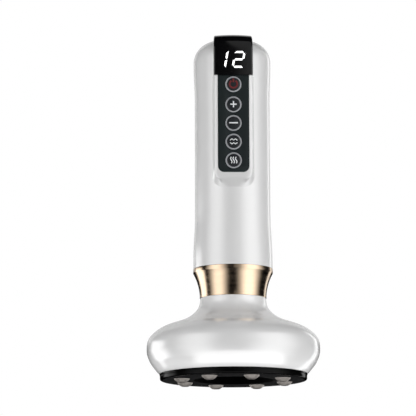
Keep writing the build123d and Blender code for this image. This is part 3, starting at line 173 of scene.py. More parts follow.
def lathePiece(name, profile, steps):  # closed outline of (radius, height), turned round Z
    verts, faces, rows = [], [], []
    for radius, height in profile:
        if radius < 1e-6:
            rows.append([len(verts)] * steps)
            verts.append((0, 0, height))
            continue
        rows.append(list(range(len(verts), len(verts) + steps)))
        for k in range(steps):
            turn = 2 * pi * k / steps
            verts.append((radius * cos(turn), radius * sin(turn), height))
    for low, high in zip(rows, rows[1:] + rows[:1]):
        for k in range(steps):
            after = (k + 1) % steps
            corners = list(dict.fromkeys([low[k], low[after], high[after], high[k]]))
            if len(corners) > 2:
                faces.append(corners)
    return meshPiece(name, verts, faces)


def placed(piece, matrix):  # moves a mesh itself, so that its object stays at the origin
    piece.data.transform(matrix)
    return piece


def turnedX(angle):
    return Matrix.Rotation(radians(angle), 4, "X")


def skinRows(rows, closed):  # faces between rows of equal length, numbered row by row
    width = len(rows[0])
    faces = []
    for r in range(len(rows) - 1):
        for k in range(width if closed else width - 1):
            a, b = r * width + k, r * width + (k + 1) % width
            faces.append([a, b, b + width, a + width])
    return faces


def endCaps(rows):  # a face on the first row, and one on the last
    width = len(rows[0])
    last = (len(rows) - 1) * width
    return [list(range(width)), list(range(last, last + width))[::-1]]


def sweptPiece(name, rows):  # a closed section carried through its rows
    return meshPiece(name, [v for r in rows for v in r], skinRows(rows, True) + endCaps(rows))


def blockPiece(name, outline, near, far):  # outline of (x, z), from y near to y far
    rows = [[(x, y, z) for x, z in outline] for y in (near, far)]
    return meshPiece(name, rows[0] + rows[1], endCaps(rows) + skinRows(rows, True))


def joined(name, parts):
    mesh = bpy.data.meshes.new(name)
    work = bmesh.new()
    for part in parts:
        work.from_mesh(part.data)
    work.to_mesh(mesh)
    work.free()
    for part in parts:
        removePiece(part)
    return linked(name, mesh)


def removePiece(piece):
    mesh = piece.data
    bpy.data.objects.remove(piece)
    bpy.data.meshes.remove(mesh)


def finalMesh(piece):  # what a curve or a piece with modifiers comes to
    seen = bpy.context.evaluated_depsgraph_get()
    return bpy.data.meshes.new_from_object(piece.evaluated_get(seen))


def appliedMesh(piece):  # works the modifiers in, and leaves none on the piece
    mesh = finalMesh(piece)
    piece.modifiers.clear()
    old = piece.data
    piece.data = mesh
    bpy.data.meshes.remove(old)
    mesh.name = piece.name
    return piece


def combined(piece, other, how="DIFFERENCE"):  # or a union or intersection with another piece
    cut = piece.modifiers.new("cut", "BOOLEAN")
    cut.operation = how
    cut.solver = "EXACT"
    cut.object = other
    bpy.context.view_layer.update()
    appliedMesh(piece)
    removePiece(other)
    return piece


def bevelled(piece, width, segments, angle):
    edge = piece.modifiers.new("edge", "BEVEL")
    edge.width = width * mm
    edge.segments = segments
    edge.limit_method = "ANGLE"
    edge.angle_limit = radians(angle)
    edge.use_clamp_overlap = True
    return appliedMesh(piece)


# Node trees

def setInputs(node, values):
    for socket, value in values.items():
        node.inputs[socket].default_value = value
    return node


def addNode(tree, kind, values={}):
    return setInputs(tree.nodes.new("ShaderNode" + kind), values)


def wire(tree, *joins):  # in each join a node and its output, then a node and its input
    for source, output, target, socket in joins:
        tree.links.new(source.outputs[output], target.inputs[socket])


def mathNode(tree, operation, *sources):
    node = addNode(tree, "Math")
    node.operation = operation
    for k, source in enumerate(sources):
        tree.links.new(source, node.inputs[k])
    return node.outputs["Value"]


def nodeMaterial(name):
    material = bpy.data.materials.new(name)
    material.use_nodes = True
    return material, material.node_tree


# Geometry Nodes that repeat a piece

def repeatTree(name, onCircle):
    tree = bpy.data.node_groups.new(name, "GeometryNodeTree")
    sizes = [("Places", "Geometry"), ("Piece", "Object"), ("Finish", "Material")]
    if onCircle:
        sizes += [("Count", "Int"), ("Circle Radius", "Float"), ("Start Angle", "Float")]
    for label, kind in sizes:
        tree.interface.new_socket(label, in_out="INPUT", socket_type="NodeSocket" + kind)
    tree.interface.new_socket("Repeated", in_out="OUTPUT", socket_type="NodeSocketGeometry")
    given, result = tree.nodes.new("NodeGroupInput"), tree.nodes.new("NodeGroupOutput")
    kinds = ("InstanceOnPoints", "ObjectInfo", "RealizeInstances", "SetMaterial")
    instance, info, real, paint = (tree.nodes.new("GeometryNode" + kind) for kind in kinds)
    if onCircle:
        circle, spin = (tree.nodes.new("GeometryNode" + kind) for kind in ("MeshCircle", "Transform"))
        turn = addNode(tree, "CombineXYZ")
        wire(tree, (given, "Count", circle, "Vertices"), (given, "Circle Radius", circle, "Radius"),
             (given, "Start Angle", turn, "Z"), (circle, "Mesh", spin, "Geometry"),
             (turn, "Vector", spin, "Rotation"), (spin, "Geometry", instance, "Points"))
    else:
        wire(tree, (given, "Places", instance, "Points"))
    wire(tree, (given, "Piece", info, "Object"), (info, "Geometry", instance, "Instance"),
         (instance, "Instances", real, "Geometry"), (real, "Geometry", paint, "Geometry"),
         (given, "Finish", paint, "Material"), (paint, "Geometry", result, "Repeated"))
    return tree


pointTree = repeatTree("pieceAtEachPoint", False)
circleTree = repeatTree("pieceRoundCircle", True)


def repeated(name, source, tree, slotName, node, places=(), **sizes):
    # a realised copy of the source at each place, as one plain mesh in place of a CAD node
    base = bpy.data.meshes.new(name)
    base.from_pydata([tuple(c * mm for c in p) for p in places], [], [])
    piece = linked(name, base)
    maker = piece.modifiers.new("repeat", "NODES")
    maker.node_group = tree
    wanted = {"Piece": source, "Finish": finishes[slotName], **sizes}
    for item in tree.interface.items_tree:
        if item.in_out == "INPUT" and item.name in wanted:
            maker[item.identifier] = wanted[item.name]
    bpy.context.view_layer.update()
    appliedMesh(piece)
    removePiece(source)
    smoothMesh(piece.data)
    dressed(piece, slotName, node)


# Finishes

class Recipe:
    def __init__(self, name):
        self.material, self.tree = nodeMaterial(name)
        self.shader = self.tree.nodes["Principled BSDF"]
        self.place = addNode(self.tree, "TexCoord").outputs["Object"]

    def put(self, values):
        setInputs(self.shader, values)

    def join(self, source, socket):
        self.tree.links.new(source, self.shader.inputs[socket])

    def fed(self, source, socket, kind, values):  # a node that takes the source
        node = addNode(self.tree, kind, values)
        self.tree.links.new(source, node.inputs[socket])
        return node

    def stretched(self, scale):
        return self.fed(self.place, "Vector", "Mapping", {"Scale": scale}).outputs["Vector"]

    def noise(self, scale, detail=4.0, roughness=0.55, place=None):
        values = {"Scale": scale, "Detail": detail, "Roughness": roughness}
        return self.fed(place or self.place, "Vector", "TexNoise", values).outputs["Fac"]

    def spread(self, source, low, high, fromLow=0.3, fromHigh=0.7):
        values = {"From Min": fromLow, "From Max": fromHigh, "To Min": low, "To Max": high}
        return self.fed(source, "Value", "MapRange", values).outputs["Result"]

    def blend(self, factor, first, second):
        node = addNode(self.tree, "Mix")
        node.data_type = "RGBA"
        self.tree.links.new(factor, node.inputs["Factor"])
        colors = [socket for socket in node.inputs if socket.type == "RGBA"]
        for socket, value in zip(colors, (first, second)):
            if isinstance(value, tuple):
                socket.default_value = (*value, 1)
            else:
                self.tree.links.new(value, socket)
        return [socket for socket in node.outputs if socket.type == "RGBA"][0]

    def tinted(self, source, color, tone):  # a little darker and lighter from place to place
        return self.blend(self.spread(source, 0, 1), shade(color, 1 - tone), shade(color, 1 + tone))

    def rough(self, source, low, high):
        self.join(self.spread(source, low, high), "Roughness")

    def edges(self, high):  # worn where the surface turns sharply
        turning = addNode(self.tree, "NewGeometry").outputs["Pointiness"]
        return self.spread(turning, 0, 1, edgeStart, high)

    def relief(self, source, depth):  # depth in millimetres
        values = {"Strength": 1.0, "Distance": depth * mm}
        self.join(self.fed(source, "Height", "Bump", values).outputs["Normal"], "Normal")


edgeStart = 0.52  # pointiness from which an edge is worn


def shade(color, factor):
    return tuple(min(1.0, c * factor) for c in color)


def plasticFinish(name, color, roughness, grain=900, depth=0.004, tone=0.04, coat=0.0, coatIor=1.5,
                  coatRoughness=0.05, wear=0.0, specular=0.5):
    recipe = Recipe(name)
    fine = recipe.noise(grain, 2)
    base = recipe.tinted(recipe.noise(60, 3), color, tone)
    if wear:
        base = recipe.blend(recipe.edges(0.62), base, shade(color, 1 + wear))
    recipe.join(base, "Base Color")
    recipe.rough(fine, roughness * 0.85, roughness * 1.15)
    recipe.relief(fine, depth)
    recipe.put({"Specular IOR Level": specular})
    if coat:
        recipe.put({"Coat Weight": coat, "Coat IOR": coatIor, "Coat Roughness": coatRoughness})
    return recipe.material


def metalFinish(name, color, roughness, brush=(40, 40, 1500), depth=0.001, tone=0.08, metallic=1.0):
    recipe = Recipe(name)
    brushed = recipe.noise(1.0, 3, place=recipe.stretched(brush))
    base = recipe.tinted(recipe.noise(120, 4), color, tone)
    recipe.join(recipe.blend(recipe.edges(0.6), base, shade(color, 1.2)), "Base Color")
    recipe.rough(brushed, roughness * 0.7, roughness * 1.3)
    recipe.put({"Metallic": metallic})
    recipe.relief(brushed, depth)
    return recipe.material


def rubberFinish(name, color, roughness=0.7, grain=1400, depth=0.02, specular=0.25):
    recipe = Recipe(name)
    dust = recipe.noise(140, 5)
    dusty = recipe.blend(recipe.spread(dust, 0, 1, 0.45, 0.75), color, shade(color, 1.6))
    recipe.join(dusty, "Base Color")
    recipe.rough(dust, roughness * 0.85, min(1, roughness * 1.15))
    recipe.relief(recipe.noise(grain, 3), depth)
    recipe.put({"Specular IOR Level": specular})
    return recipe.material


def foamFinish(name, color):
    recipe = Recipe(name)
    cells = recipe.fed(recipe.place, "Vector", "TexVoronoi", {"Scale": 1600})
    # pores are painted darker towards their centres, a painted shade in the hollows; the same mask gives
    # the bump
    poreShadeAndDepth = recipe.spread(cells.outputs["Distance"], 0, 1, 0.1, 0.6)
    recipe.join(recipe.blend(poreShadeAndDepth, shade(color, 0.5), color), "Base Color")
    recipe.put({"Roughness": 0.9})
    recipe.relief(poreShadeAndDepth, 0.12)
    return recipe.material


def boardFinish(name, color, copper):
    recipe = Recipe(name)
    weave = recipe.fed(recipe.place, "Vector", "TexChecker", {
        "Scale": 900, "Color1": (*shade(color, 0.94), 1), "Color2": (*shade(color, 1.06), 1)})
    tracks = recipe.fed(recipe.place, "Vector", "TexBrick", {"Scale": 260, "Mortar Size": 0.03})
    line = recipe.spread(tracks.outputs["Fac"], 0, 1, 0, 1)
    recipe.join(recipe.blend(line, weave.outputs["Color"], copper), "Base Color")
    recipe.put({"Roughness": 0.38})
    recipe.relief(line, 0.03)
    return recipe.material


def glowFinish(name, color, strength):  # lit segments, and printed marks that get a painted glow though they are no lamp
    recipe = Recipe(name)
    cloud = recipe.noise(300, 2)
    lit = recipe.blend(recipe.spread(cloud, 0, 1), shade(color, 0.95), color)
    recipe.join(lit, "Base Color")
    recipe.join(lit, "Emission Color")
    recipe.put({"Emission Strength": strength})
    recipe.rough(cloud, 0.25, 0.35)
    return recipe.material


finishes = {
    "shell_white": plasticFinish("whiteLacquer", (0.80, 0.80, 0.80), 0.40, grain=160, depth=0.0001,
                                 tone=0.008, coat=1.0, coatIor=1.76, coatRoughness=0.09),
    "lens_black": plasticFinish("smokedLens", (0.0035, 0.0035, 0.004), 0.05, grain=600, depth=0.0001,
                                tone=0.1, specular=1.0),
    "digit_white": glowFinish("litSegment", (1.0, 1.0, 1.0), 1.0),
    "module_black": plasticFinish("moduleCase", (0.02, 0.02, 0.022), 0.5, wear=0.5),
    "panel_slate": plasticFinish("slatePanel", (0.006, 0.011, 0.012), 0.45, grain=1200, depth=0.001,
                                 tone=0.06, specular=0.25),
    "ring_silver": plasticFinish("silverRing", (0.46, 0.47, 0.50), 0.35, depth=0.0005, tone=0.05),
    "key_black": plasticFinish("keyGloss", (0.019, 0.022, 0.025), 0.16, grain=800, depth=0.0003, tone=0.1),
    # the printed marks glow a little: a painted glow, not a lamp
    "icon_white": glowFinish("printedMark", (0.78, 0.80, 0.82), 0.12),
    "icon_red": glowFinish("powerMark", (0.15, 0.006, 0.008), 0.06),
    "collar_gold": metalFinish("polishedGold", (0.60, 0.465, 0.335), 0.17, brush=(30, 30, 900),
                               depth=0.0002, tone=0.03),
    "rim_black": plasticFinish("pianoBlack", (0.002, 0.002, 0.002), 0.07, grain=700, depth=0.0001,
                               tone=0.1, specular=0.05),
    "plate_dark": plasticFinish("satinPlate", (0.022, 0.022, 0.023), 0.75, grain=1600, depth=0.006,
                                specular=0.05),
    "bead_steel": metalFinish("beadSteel", (0.65, 0.60, 0.56), 0.38, brush=(300, 300, 300), tone=0.05,
                              metallic=0.5),
    "cup_black": rubberFinish("cupRubber", (0.0015, 0.0015, 0.0015), 0.75, specular=0.02),
    "seal_rubber": rubberFinish("sealRubber", (0.03, 0.03, 0.03)),
    "hose_silicone": rubberFinish("siliconeHose", (0.62, 0.63, 0.62), 0.4),
    "magnet_nickel": metalFinish("nickelPlate", (0.63, 0.61, 0.58), 0.25),
    "heater_alloy": metalFinish("heaterFoil", (0.55, 0.40, 0.22), 0.4, brush=(400, 400, 40)),
    "filter_grey": plasticFinish("filterCap", (0.16, 0.16, 0.17), 0.55, depth=0.01),
    "filter_foam": foamFinish("filterFoam", (0.30, 0.30, 0.30)),
    "board_green": boardFinish("solderMask", (0.012, 0.11, 0.045), (0.05, 0.19, 0.08)),
    "chip_black": plasticFinish("chipResin", (0.03, 0.03, 0.032), 0.6, depth=0.01, wear=0.4),
    "dome_steel": metalFinish("snapDome", (0.70, 0.70, 0.70), 0.18),
    "screw_steel": metalFinish("screwSteel", (0.52, 0.52, 0.53), 0.32, brush=(500, 500, 500)),
    "cell_wrap": plasticFinish("cellWrap", (0.03, 0.13, 0.35), 0.35, tone=0.1, wear=0.3),
    "cradle_grey": plasticFinish("cradlePlastic", (0.30, 0.31, 0.32), 0.5, depth=0.008),
    "socket_steel": metalFinish("socketSteel", (0.60, 0.60, 0.61), 0.28),
    "pump_white": plasticFinish("pumpNylon", (0.70, 0.69, 0.66), 0.5, depth=0.01, tone=0.05),
    "motor_steel": metalFinish("motorCan", (0.50, 0.50, 0.51), 0.35),
    "motor_copper": metalFinish("motorCopper", (0.75, 0.33, 0.18), 0.35, brush=(60, 60, 2500), depth=0.01),
    "lead_red": plasticFinish("leadSleeve", (0.45, 0.02, 0.02), 0.45, tone=0.08),
}

# Each CAD node takes the finish of its own slot
slotOf = {part["node"]: part["material_slot"] for part in frame["record"]["subparts"]}
for name, node in frame["nodes"].items():
    finish = finishes.get(slotOf.get(name), finishes["cradle_grey"])
    if not node.data.materials:
        node.data.materials.append(finish)
    for k in range(len(node.data.materials)):
        node.data.materials[k] = finish
print("finishes made:", len(finishes))


def dressed(piece, slotName, node, body="housing"):  # finish, slot, body and the CAD node it stands for
    piece.data.materials.clear()
    piece.data.materials.append(finishes[slotName])
    for face in piece.data.polygons:
        face.material_index = 0
    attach(piece, body)
    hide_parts(node)


# Head shell

head = {
    "wall": 2.2, "spigotRadius": 16.0, "spigotBore": 14.2, "spigotStep": 3.0, "flangeRadius": 17.8,
    "flangeHeight": 2.2, "neckRadius": 18.85, "edge": 0.25,
    "shares": [  # of the spread beyond the neck, and of the height over the rim
        (0.7616, 0.0), (0.795, 0.022), (0.829, 0.05), (0.862, 0.08), (0.8925, 0.108), (0.922, 0.138),
        (0.9505, 0.178), (0.9919, 0.258), (1.0, 0.338), (0.975, 0.441), (0.867, 0.536), (0.694, 0.616),
        (0.4965, 0.667), (0.231, 0.743), (0.109, 0.809), (0.047, 0.864), (0.016, 0.920), (0.0, 1.0),
    ],
    "outerRows": 150, "innerRows": 60, "steps": 256,
}


def makeHead():
    wall, bore, spigot, flange = (head[k] for k in ("wall", "spigotBore", "spigotRadius", "flangeRadius"))
    foot, top = collarLow.z, headHigh.z
    spread, rise = headHigh.x - head["neckRadius"], foot - headLow.z
    outline = [(head["neckRadius"] + r * spread, headLow.z + z * rise) for r, z in head["shares"]]
    outer = curveThrough(outline, head["outerRows"])
    inner = offsetLine(curveThrough(outline, head["innerRows"]), wall)
    inner = [p for p in inner if headLow.z < p[1] < foot - wall]
    profile = outer + [
        (flange, foot), (flange, foot + head["spigotStep"]), (spigot, foot + head["spigotStep"]),
        (spigot, top - head["flangeHeight"]), (flange, top - head["flangeHeight"]), (flange, top),
        (bore, top), (bore, foot - wall),
    ] + inner[::-1] + [(outer[0][0] - wall, headLow.z)]
    piece = lathePiece("headShell", softened(profile, head["edge"]), head["steps"])
    dressed(piece, "shell_white", "head_shell")


makeHead()

# Rim ring with its groove, and the plate inside it

rim = {"flange": 0.8, "groove": 0.5, "grooveDepth": 0.6, "step": 0.2, "rounding": 0.9, "lip": 1.6,
       "shelf": 2.2, "seat": 2.4, "edge": 0.12, "steps": 256}
plate = {"thickness": 2.4, "hole": 22.9, "edge": 0.25, "steps": 192}


def makeRim():
    outer, top, bottom = rimHigh.x, headLow.z, rimLow.z
    body, rounding = outer - rim["step"], rim["rounding"]
    grooveTop = top - rim["flange"]
    grooveFoot, grooveFloor = grooveTop - rim["groove"], outer - rim["grooveDepth"]
    shelf, lip, seat = plateHigh.x - rim["shelf"], outer - rim["lip"], bottom + rim["seat"]
    profile = arcPoints((body - rounding, bottom + rounding), rounding, -90, 0, 8) + [
        (body, grooveFoot), (grooveFloor, grooveFoot), (grooveFloor, grooveTop), (outer, grooveTop),
        (outer, top), (shelf, top), (shelf, seat), (lip, seat), (lip, bottom),
    ]
    piece = lathePiece("rimRing", softened(profile, rim["edge"], 2), rim["steps"])
    dressed(piece, "rim_black", "rim_ring")


def makePlate():
    low, high, outer, hole = plateLow.z, plateLow.z + plate["thickness"], plateHigh.x, plate["hole"]
    profile = [(hole, low), (outer, low), (outer, high), (hole, high)]
    piece = lathePiece("contactPlate", softened(profile, plate["edge"]), plate["steps"])
    dressed(piece, "plate_dark", "contact_plate")


makeRim()
makePlate()

# Massage beads: one dome repeated round a circle

beads = {"count": 8, "circle": 31.0, "start": 17.5, "radius": 4.5, "height": 2.1, "flat": 2.0, "seat": 0.8,
         "shank": 2.6, "plateTop": 4.5, "domeSteps": 14, "steps": 48}


def makeBeads():
    r, h, flat = beads["radius"], beads["height"], beads["flat"]
    centre = (r * r + h * h - flat * flat) / (2 * h)
    start = degrees(atan2(-centre, flat))
    end = degrees(atan2(h - centre, r))
    dome = arcPoints((0, centre), hypot(flat, centre), start, end, beads["domeSteps"])
    seat, shank, top = h + beads["seat"], beads["shank"], beads["plateTop"]
    profile = [(0, 0)] + dome + [(r, seat), (shank, seat), (shank, top), (0, top)]
    bead = lathePiece("bead", profile, beads["steps"])
    repeated("massageBeads", bead, circleTree, "bead_steel", "massage_beads", **{
        "Count": beads["count"], "Circle Radius": beads["circle"] * mm,
        "Start Angle": radians(beads["start"])})


makeBeads()

# Collar: a flared ring that ends in a narrow band

collar = {"band": 2.4, "footRadius": 19.15, "bore": 18.0, "topWall": 1.6, "straight": 5.8, "edge": 0.25,
          "flareSteps": 40, "steps": 256}


def makeCollar():
    foot, top, reach, bore = collarLow.z, collarHigh.z, collarHigh.x, collar["bore"]
    flareTop, inside = top - collar["band"], reach - collar["topWall"]
    run, climb = reach - collar["footRadius"], flareTop - foot
    sweep = (run * run + climb * climb) / (2 * run)
    angle = degrees(asin(climb / sweep))
    flare = arcPoints((collar["footRadius"] + sweep, foot), sweep, 180, 180 - angle, collar["flareSteps"])
    profile = flare + [(reach, top), (inside, top), (inside, flareTop), (bore, foot + collar["straight"]),
                       (bore, foot)]
    piece = lathePiece("collarRing", softened(profile, collar["edge"], 4), collar["steps"])
    dressed(piece, "collar_gold", "collar")


makeCollar()
print("head, rim, beads and collar made")

# Valve spring: a helix that the plunger presses together against the frame

spring = {"turns": 4, "wire": 0.3, "seat": 0.15, "travel": 1.2, "steps": 160, "sides": 10}


def makeValveSpring():
    low, high = nodeBox("valve_spring")
    middle, thick = (low + high) / 2, spring["wire"]
    radius = (high.x - low.x) / 2 - thick
    rows = []
    for k in range(spring["steps"] + 1):
        share = k / spring["steps"]
        turn = 2 * pi * spring["turns"] * share
        height = low.z + thick + (high.z - low.z - 2 * thick) * share
        section = arcPoints((radius, height), thick, 0, 360, spring["sides"])[:-1]
        rows.append([(middle.x + r * cos(turn), middle.y + r * sin(turn), z) for r, z in section])
    piece = sweptPiece("valveSpring", rows)
    dressed(piece, "dome_steel", "valve_spring")
    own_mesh(piece)


makeValveSpring()

# Handle: a round tube that narrows at the grip, split into a front and a rear shell

handle = {
    "footRadius": 22.8, "gripRadius": 21.8, "crownRadius": 22.4, "shoulder": 12.0, "wall": 2.0,
    "floor": 2.8, "floorBore": 16.2, "seam": 0.15,
    "footBand": 0.049, "waistStart": 0.236, "waistEnd": 0.747, "crownStart": 0.889,  # shares of the height
    "steps": 224, "halfReach": 40, "halfLow": 40, "halfHigh": 230,  # of the block that keeps one shell
}


def easedLine(first, last, count):  # leaves both ends upright
    (x, z), (lastX, lastZ) = first, last
    shares = [k / count for k in range(count + 1)]
    return [(x + (lastX - x) * (t * t * (3 - 2 * t)), z + (lastZ - z) * t) for t in shares]


def handleLine(inset):
    foot, top = collarHigh.z, rearHigh.z
    low, middle, high = (handle[k] - inset for k in ("footRadius", "gripRadius", "crownRadius"))
    shoulder = handle["shoulder"]
    footEnd, waistLow, waistHigh, crownLow = (
        foot + handle[k] * (top - foot) for k in ("footBand", "waistStart", "waistEnd", "crownStart"))
    line = [(low, foot)]
    line += easedLine((low, footEnd), (middle, waistLow), 24)
    line += easedLine((middle, waistHigh), (high, crownLow), 16)
    centre = (handle["crownRadius"] - shoulder, top - shoulder)
    line += arcPoints(centre, shoulder - inset, 0, 90, 24)
    return line + [(0, top - inset)]


def handleTube(name, poreShadeAndDepth):
    foot, profile = collarHigh.z, handleLine(0)
    if poreShadeAndDepth:
        floor, bore = foot + handle["floor"], handle["floorBore"]
        inner = [p for p in handleLine(handle["wall"]) if p[1] > foot]
        inner = [(inner[0][0], floor), *inner[1:]]
        profile += inner[::-1] + [(bore, floor), (bore, foot)]
    else:
        profile.append((0, foot))
    return lathePiece(name, profile, handle["steps"])


def boxOutline(half, low, high):
    return [(-half, low), (half, low), (half, high), (-half, high)]


def halved(shell, near, far):  # keeps what lies between two depths
    outline = boxOutline(handle["halfReach"], handle["halfLow"], handle["halfHigh"])
    return combined(shell, blockPiece("half", outline, near, far), "INTERSECT")


def cleaned(piece, sharpAngle=32):
    tidyMesh(piece.data)
    smoothMesh(piece.data, sharpAngle)
    return piece


# Raised key pad on the front shell

pad = {
    "root": 17.5, "reach": 24.45, "half": 10.7, "sideSlope": 0.2, "endSlope": 2.2, "end": 2.3,
    "corner": 4.5, "rootCorner": 7.0, "cornerDepth": 8.45, "edge": 0.6, "sideShare": 0.82,
    "endEdge": 0.15, "edgeTurn": 75, "edgeRows": 6, "border": 0.28, "lip": 0.12,
    "slopeRows": (1, 0.7, 0.4, 0.33, 0.26, 0.19), "liftStart": 0.1, "liftSpan": 0.3,
    "panelGap": 0.1, "panelDepth": 1.1, "panelCorner": 3.6, "panelHalf": 8.925, "panelEdge": 0.08,
}
keys = {
    "names": ["power", "plus", "minus", "suction", "heat"],
    "radius": 3.65, "hole": 3.85, "edge": 0.45, "steps": 64, "ringRadius": 4.62, "ringHeight": 0.5,
    "crestWidth": 0.42, "crestBreak": 0.07, "ringSlope": 0.2, "ringFall": (0.88, 0.3, 0.2), "ringSteps": 96,
    "flange": 4.6, "flangeFront": 21.45, "flangeHeight": 0.8, "stem": 1.4,
    "boreFront": 27, "boreBack": 15, "panelBoreBack": 20,
    "roomHalf": 8.4, "roomBelow": 6.2, "roomAbove": 5.0, "roomFront": 21.75, "shellSharp": 18,
}
keyBoxes = {name: nodeBox("button_" + name) for name in keys["names"]}
keyHeights = {name: (low.z + high.z) / 2 for name, (low, high) in keyBoxes.items()}


def padChain(half, bottom, corner, top):  # left side, round lower end, right side
    left = arcPoints((-half + corner, bottom + corner), corner, 180, 270, 14)
    right = arcPoints((half - corner, bottom + corner), corner, 270, 360, 14)
    middle = [((k / 8 - 0.5) * 2 * (half - corner), bottom) for k in range(1, 8)]
    return [(-half, top)] + left + middle + right + [(half, top)]


def makePad():
    top, grip = lensLow.z, handle["gripRadius"]
    depth = pad["reach"] - pad["root"]
    rows = []

    def row(y, half, bottom, corner, lift=0.0):  # lifted as the round handle falls away to the sides
        chain = padChain(half, bottom, corner, top)
        drops = [grip - sqrt(grip ** 2 - x * x) for x, z in chain]
        rows.append([(x, -y, min(top, z + lift * drop)) for (x, z), drop in zip(chain, drops)])

    def sloped(y):
        d = pad["reach"] - y
        corner = pad["corner"] + (pad["rootCorner"] - pad["corner"]) * d / pad["cornerDepth"]
        bottom = panelLow.z - pad["end"] - pad["endSlope"] * d
        return pad["half"] + pad["sideSlope"] * d, bottom, corner

    for share in pad["slopeRows"]:
        y = pad["reach"] - depth * share
        row(y, *sloped(y), pad["endSlope"] * min(1, (share - pad["liftStart"]) / pad["liftSpan"]))
    for k in range(pad["edgeRows"] + 1):
        turn = radians(pad["edgeTurn"] * k / pad["edgeRows"])
        y = pad["reach"] - pad["border"] - pad["edge"] * (1 - sin(turn))
        half, bottom, corner = sloped(y)
        side = pad["edge"] * pad["sideShare"] * (1 - cos(turn))
        row(y, half - side, bottom + pad["endEdge"] * (1 - cos(turn)), corner - side)
    half, bottom = pad["panelHalf"] + pad["panelGap"], panelLow.z - pad["panelGap"]
    corner = pad["panelCorner"]
    row(pad["reach"], half + pad["lip"], bottom - pad["lip"], corner + pad["lip"])
    row(pad["reach"] - pad["lip"], half, bottom, corner)
    row(pad["reach"] - pad["panelDepth"], half, bottom, corner)
    left = [r * len(rows[0]) for r in range(len(rows))]
    lid = left + [k + len(rows[0]) - 1 for k in left][::-1]
    faces = skinRows(rows, False) + endCaps(rows) + [lid]
    return meshPiece("keyPad", [v for r in rows for v in r], faces)


def roundCutter(name, radius, x, z, near, far, steps=48):  # a pin along Y
    return blockPiece(name, arcPoints((x, z), radius, 0, 360, steps)[:-1], near, far)


def keyPins(back):
    near, far = -back, -keys["boreFront"]
    pins = [roundCutter("pin", keys["hole"], 0, z, near, far) for z in keyHeights.values()]
    return joined("pins", pins)


def roundedOutline(width, height, corner, middle):
    x, z = width / 2 - corner, height / 2 - corner
    points = []
    for sx, sz, start in ((1, 1, 0), (-1, 1, 90), (-1, -1, 180), (1, -1, 270)):
        points += arcPoints((sx * x, middle + sz * z), corner, start, start + 90, 8)
    return points


def makeFrontShell():
    shell = handleTube("frontShell", True)
    combined(shell, makePad(), "UNION")
    combined(shell, keyPins(keys["boreBack"]))
    low, high = keyHeights["heat"] - keys["roomBelow"], keyHeights["power"] + keys["roomAbove"]
    room = boxOutline(keys["roomHalf"], low, high)
    combined(shell, blockPiece("room", room, -keys["boreBack"], -keys["roomFront"]))
    halved(shell, -handle["seam"] / 2, -handle["halfReach"])
    dressed(cleaned(shell, keys["shellSharp"]), "shell_white", "front_shell")


port = {"recessWidth": 12.4, "recessHeight": 6.4, "recessCorner": 3.1, "recessDepth": 0.6,
        "slotWidth": 9.14, "slotHeight": 3.4, "slotCorner": 1.6, "slotBack": 9, "outside": 30}
screws = {"x": 15.4, "rise": 29.0, "share": 0.495, "drop": 19.6, "counterbore": 2.2, "seat": 7.0,
          "boreEnd": 5.0, "head": 1.9, "headHeight": 1.4, "domeDrop": 2.2, "shank": 0.95, "length": 12.5,
          "tip": 2.0, "tipShare": 0.4, "slot": 2.2, "slotWidth": 0.5, "slotDepth": 0.9, "steps": 40}
screwHeights = [collarHigh.z + screws["rise"],
                collarHigh.z + screws["share"] * (rearHigh.z - collarHigh.z),
                rearHigh.z - screws["drop"]]


def makeRearShell():
    shell = halved(handleTube("rearShell", True), handle["halfReach"], handle["seam"] / 2)
    low, high = nodeBox("charge_socket")
    for part, depth in (("recess", handle["gripRadius"] - port["recessDepth"]), ("slot", port["slotBack"])):
        width, height, corner = (port[part + side] for side in ("Width", "Height", "Corner"))
        outline = roundedOutline(width, height, corner, (low.z + high.z) / 2)
        combined(shell, blockPiece(part, outline, depth, port["outside"]))
    radius, near, far = screws["counterbore"], screws["boreEnd"], port["outside"]
    bores = [roundCutter("bore", radius, side * screws["x"], z, near, far)
             for side in (-1, 1) for z in screwHeights]
    combined(shell, joined("bores", bores))
    dressed(cleaned(shell), "shell_white", "rear_shell")


makeFrontShell()
makeRearShell()
print("handle shells made")


def makeShellScrews():
    radius, height, shank, drop = (screws[k] for k in ("head", "headHeight", "shank", "domeDrop"))
    sphere = height + drop
    dome = arcPoints((0, -drop), sphere, 90, 90 - degrees(asin(radius / sphere)), 10)
    end = -screws["length"]
    profile = [(radius, 0)] + dome[:0:-1] + [
        (0, height), (0, end), (shank * screws["tipShare"], end), (shank, end + screws["tip"]), (shank, 0)]
    screw = lathePiece("screw", profile, screws["steps"])
    half, wide = screws["slot"] / 2, screws["slotWidth"] / 2
    cross = [(-half, -wide), (-wide, -wide), (-wide, -half), (wide, -half), (wide, -wide), (half, -wide),
             (half, wide), (wide, wide), (wide, half), (-wide, half), (-wide, wide), (-half, wide)]
    cutter = blockPiece("cross", cross, -height - 1, -height + screws["slotDepth"])
    combined(screw, placed(cutter, turnedX(-90)))
    tidyMesh(screw.data)
    placed(screw, turnedX(-90))
    places = [(side * screws["x"], screws["seat"], z) for side in (-1, 1) for z in screwHeights]
    repeated("shellScrews", screw, pointTree, "screw_steel", "shell_screws", places)


makeShellScrews()

# Key panel, the ring round each key, and the keys with their marks


def makePanel():
    chain = padChain(pad["panelHalf"], panelLow.z, pad["panelCorner"] - pad["panelGap"], panelHigh.z)
    panel = blockPiece("keyPanel", chain, panelLow.y, panelHigh.y)
    combined(panel, keyPins(keys["panelBoreBack"]))
    tidyMesh(panel.data)
    bevelled(panel, pad["panelEdge"], 2, 50)
    smoothMesh(panel.data)
    dressed(panel, "panel_slate", "key_panel")


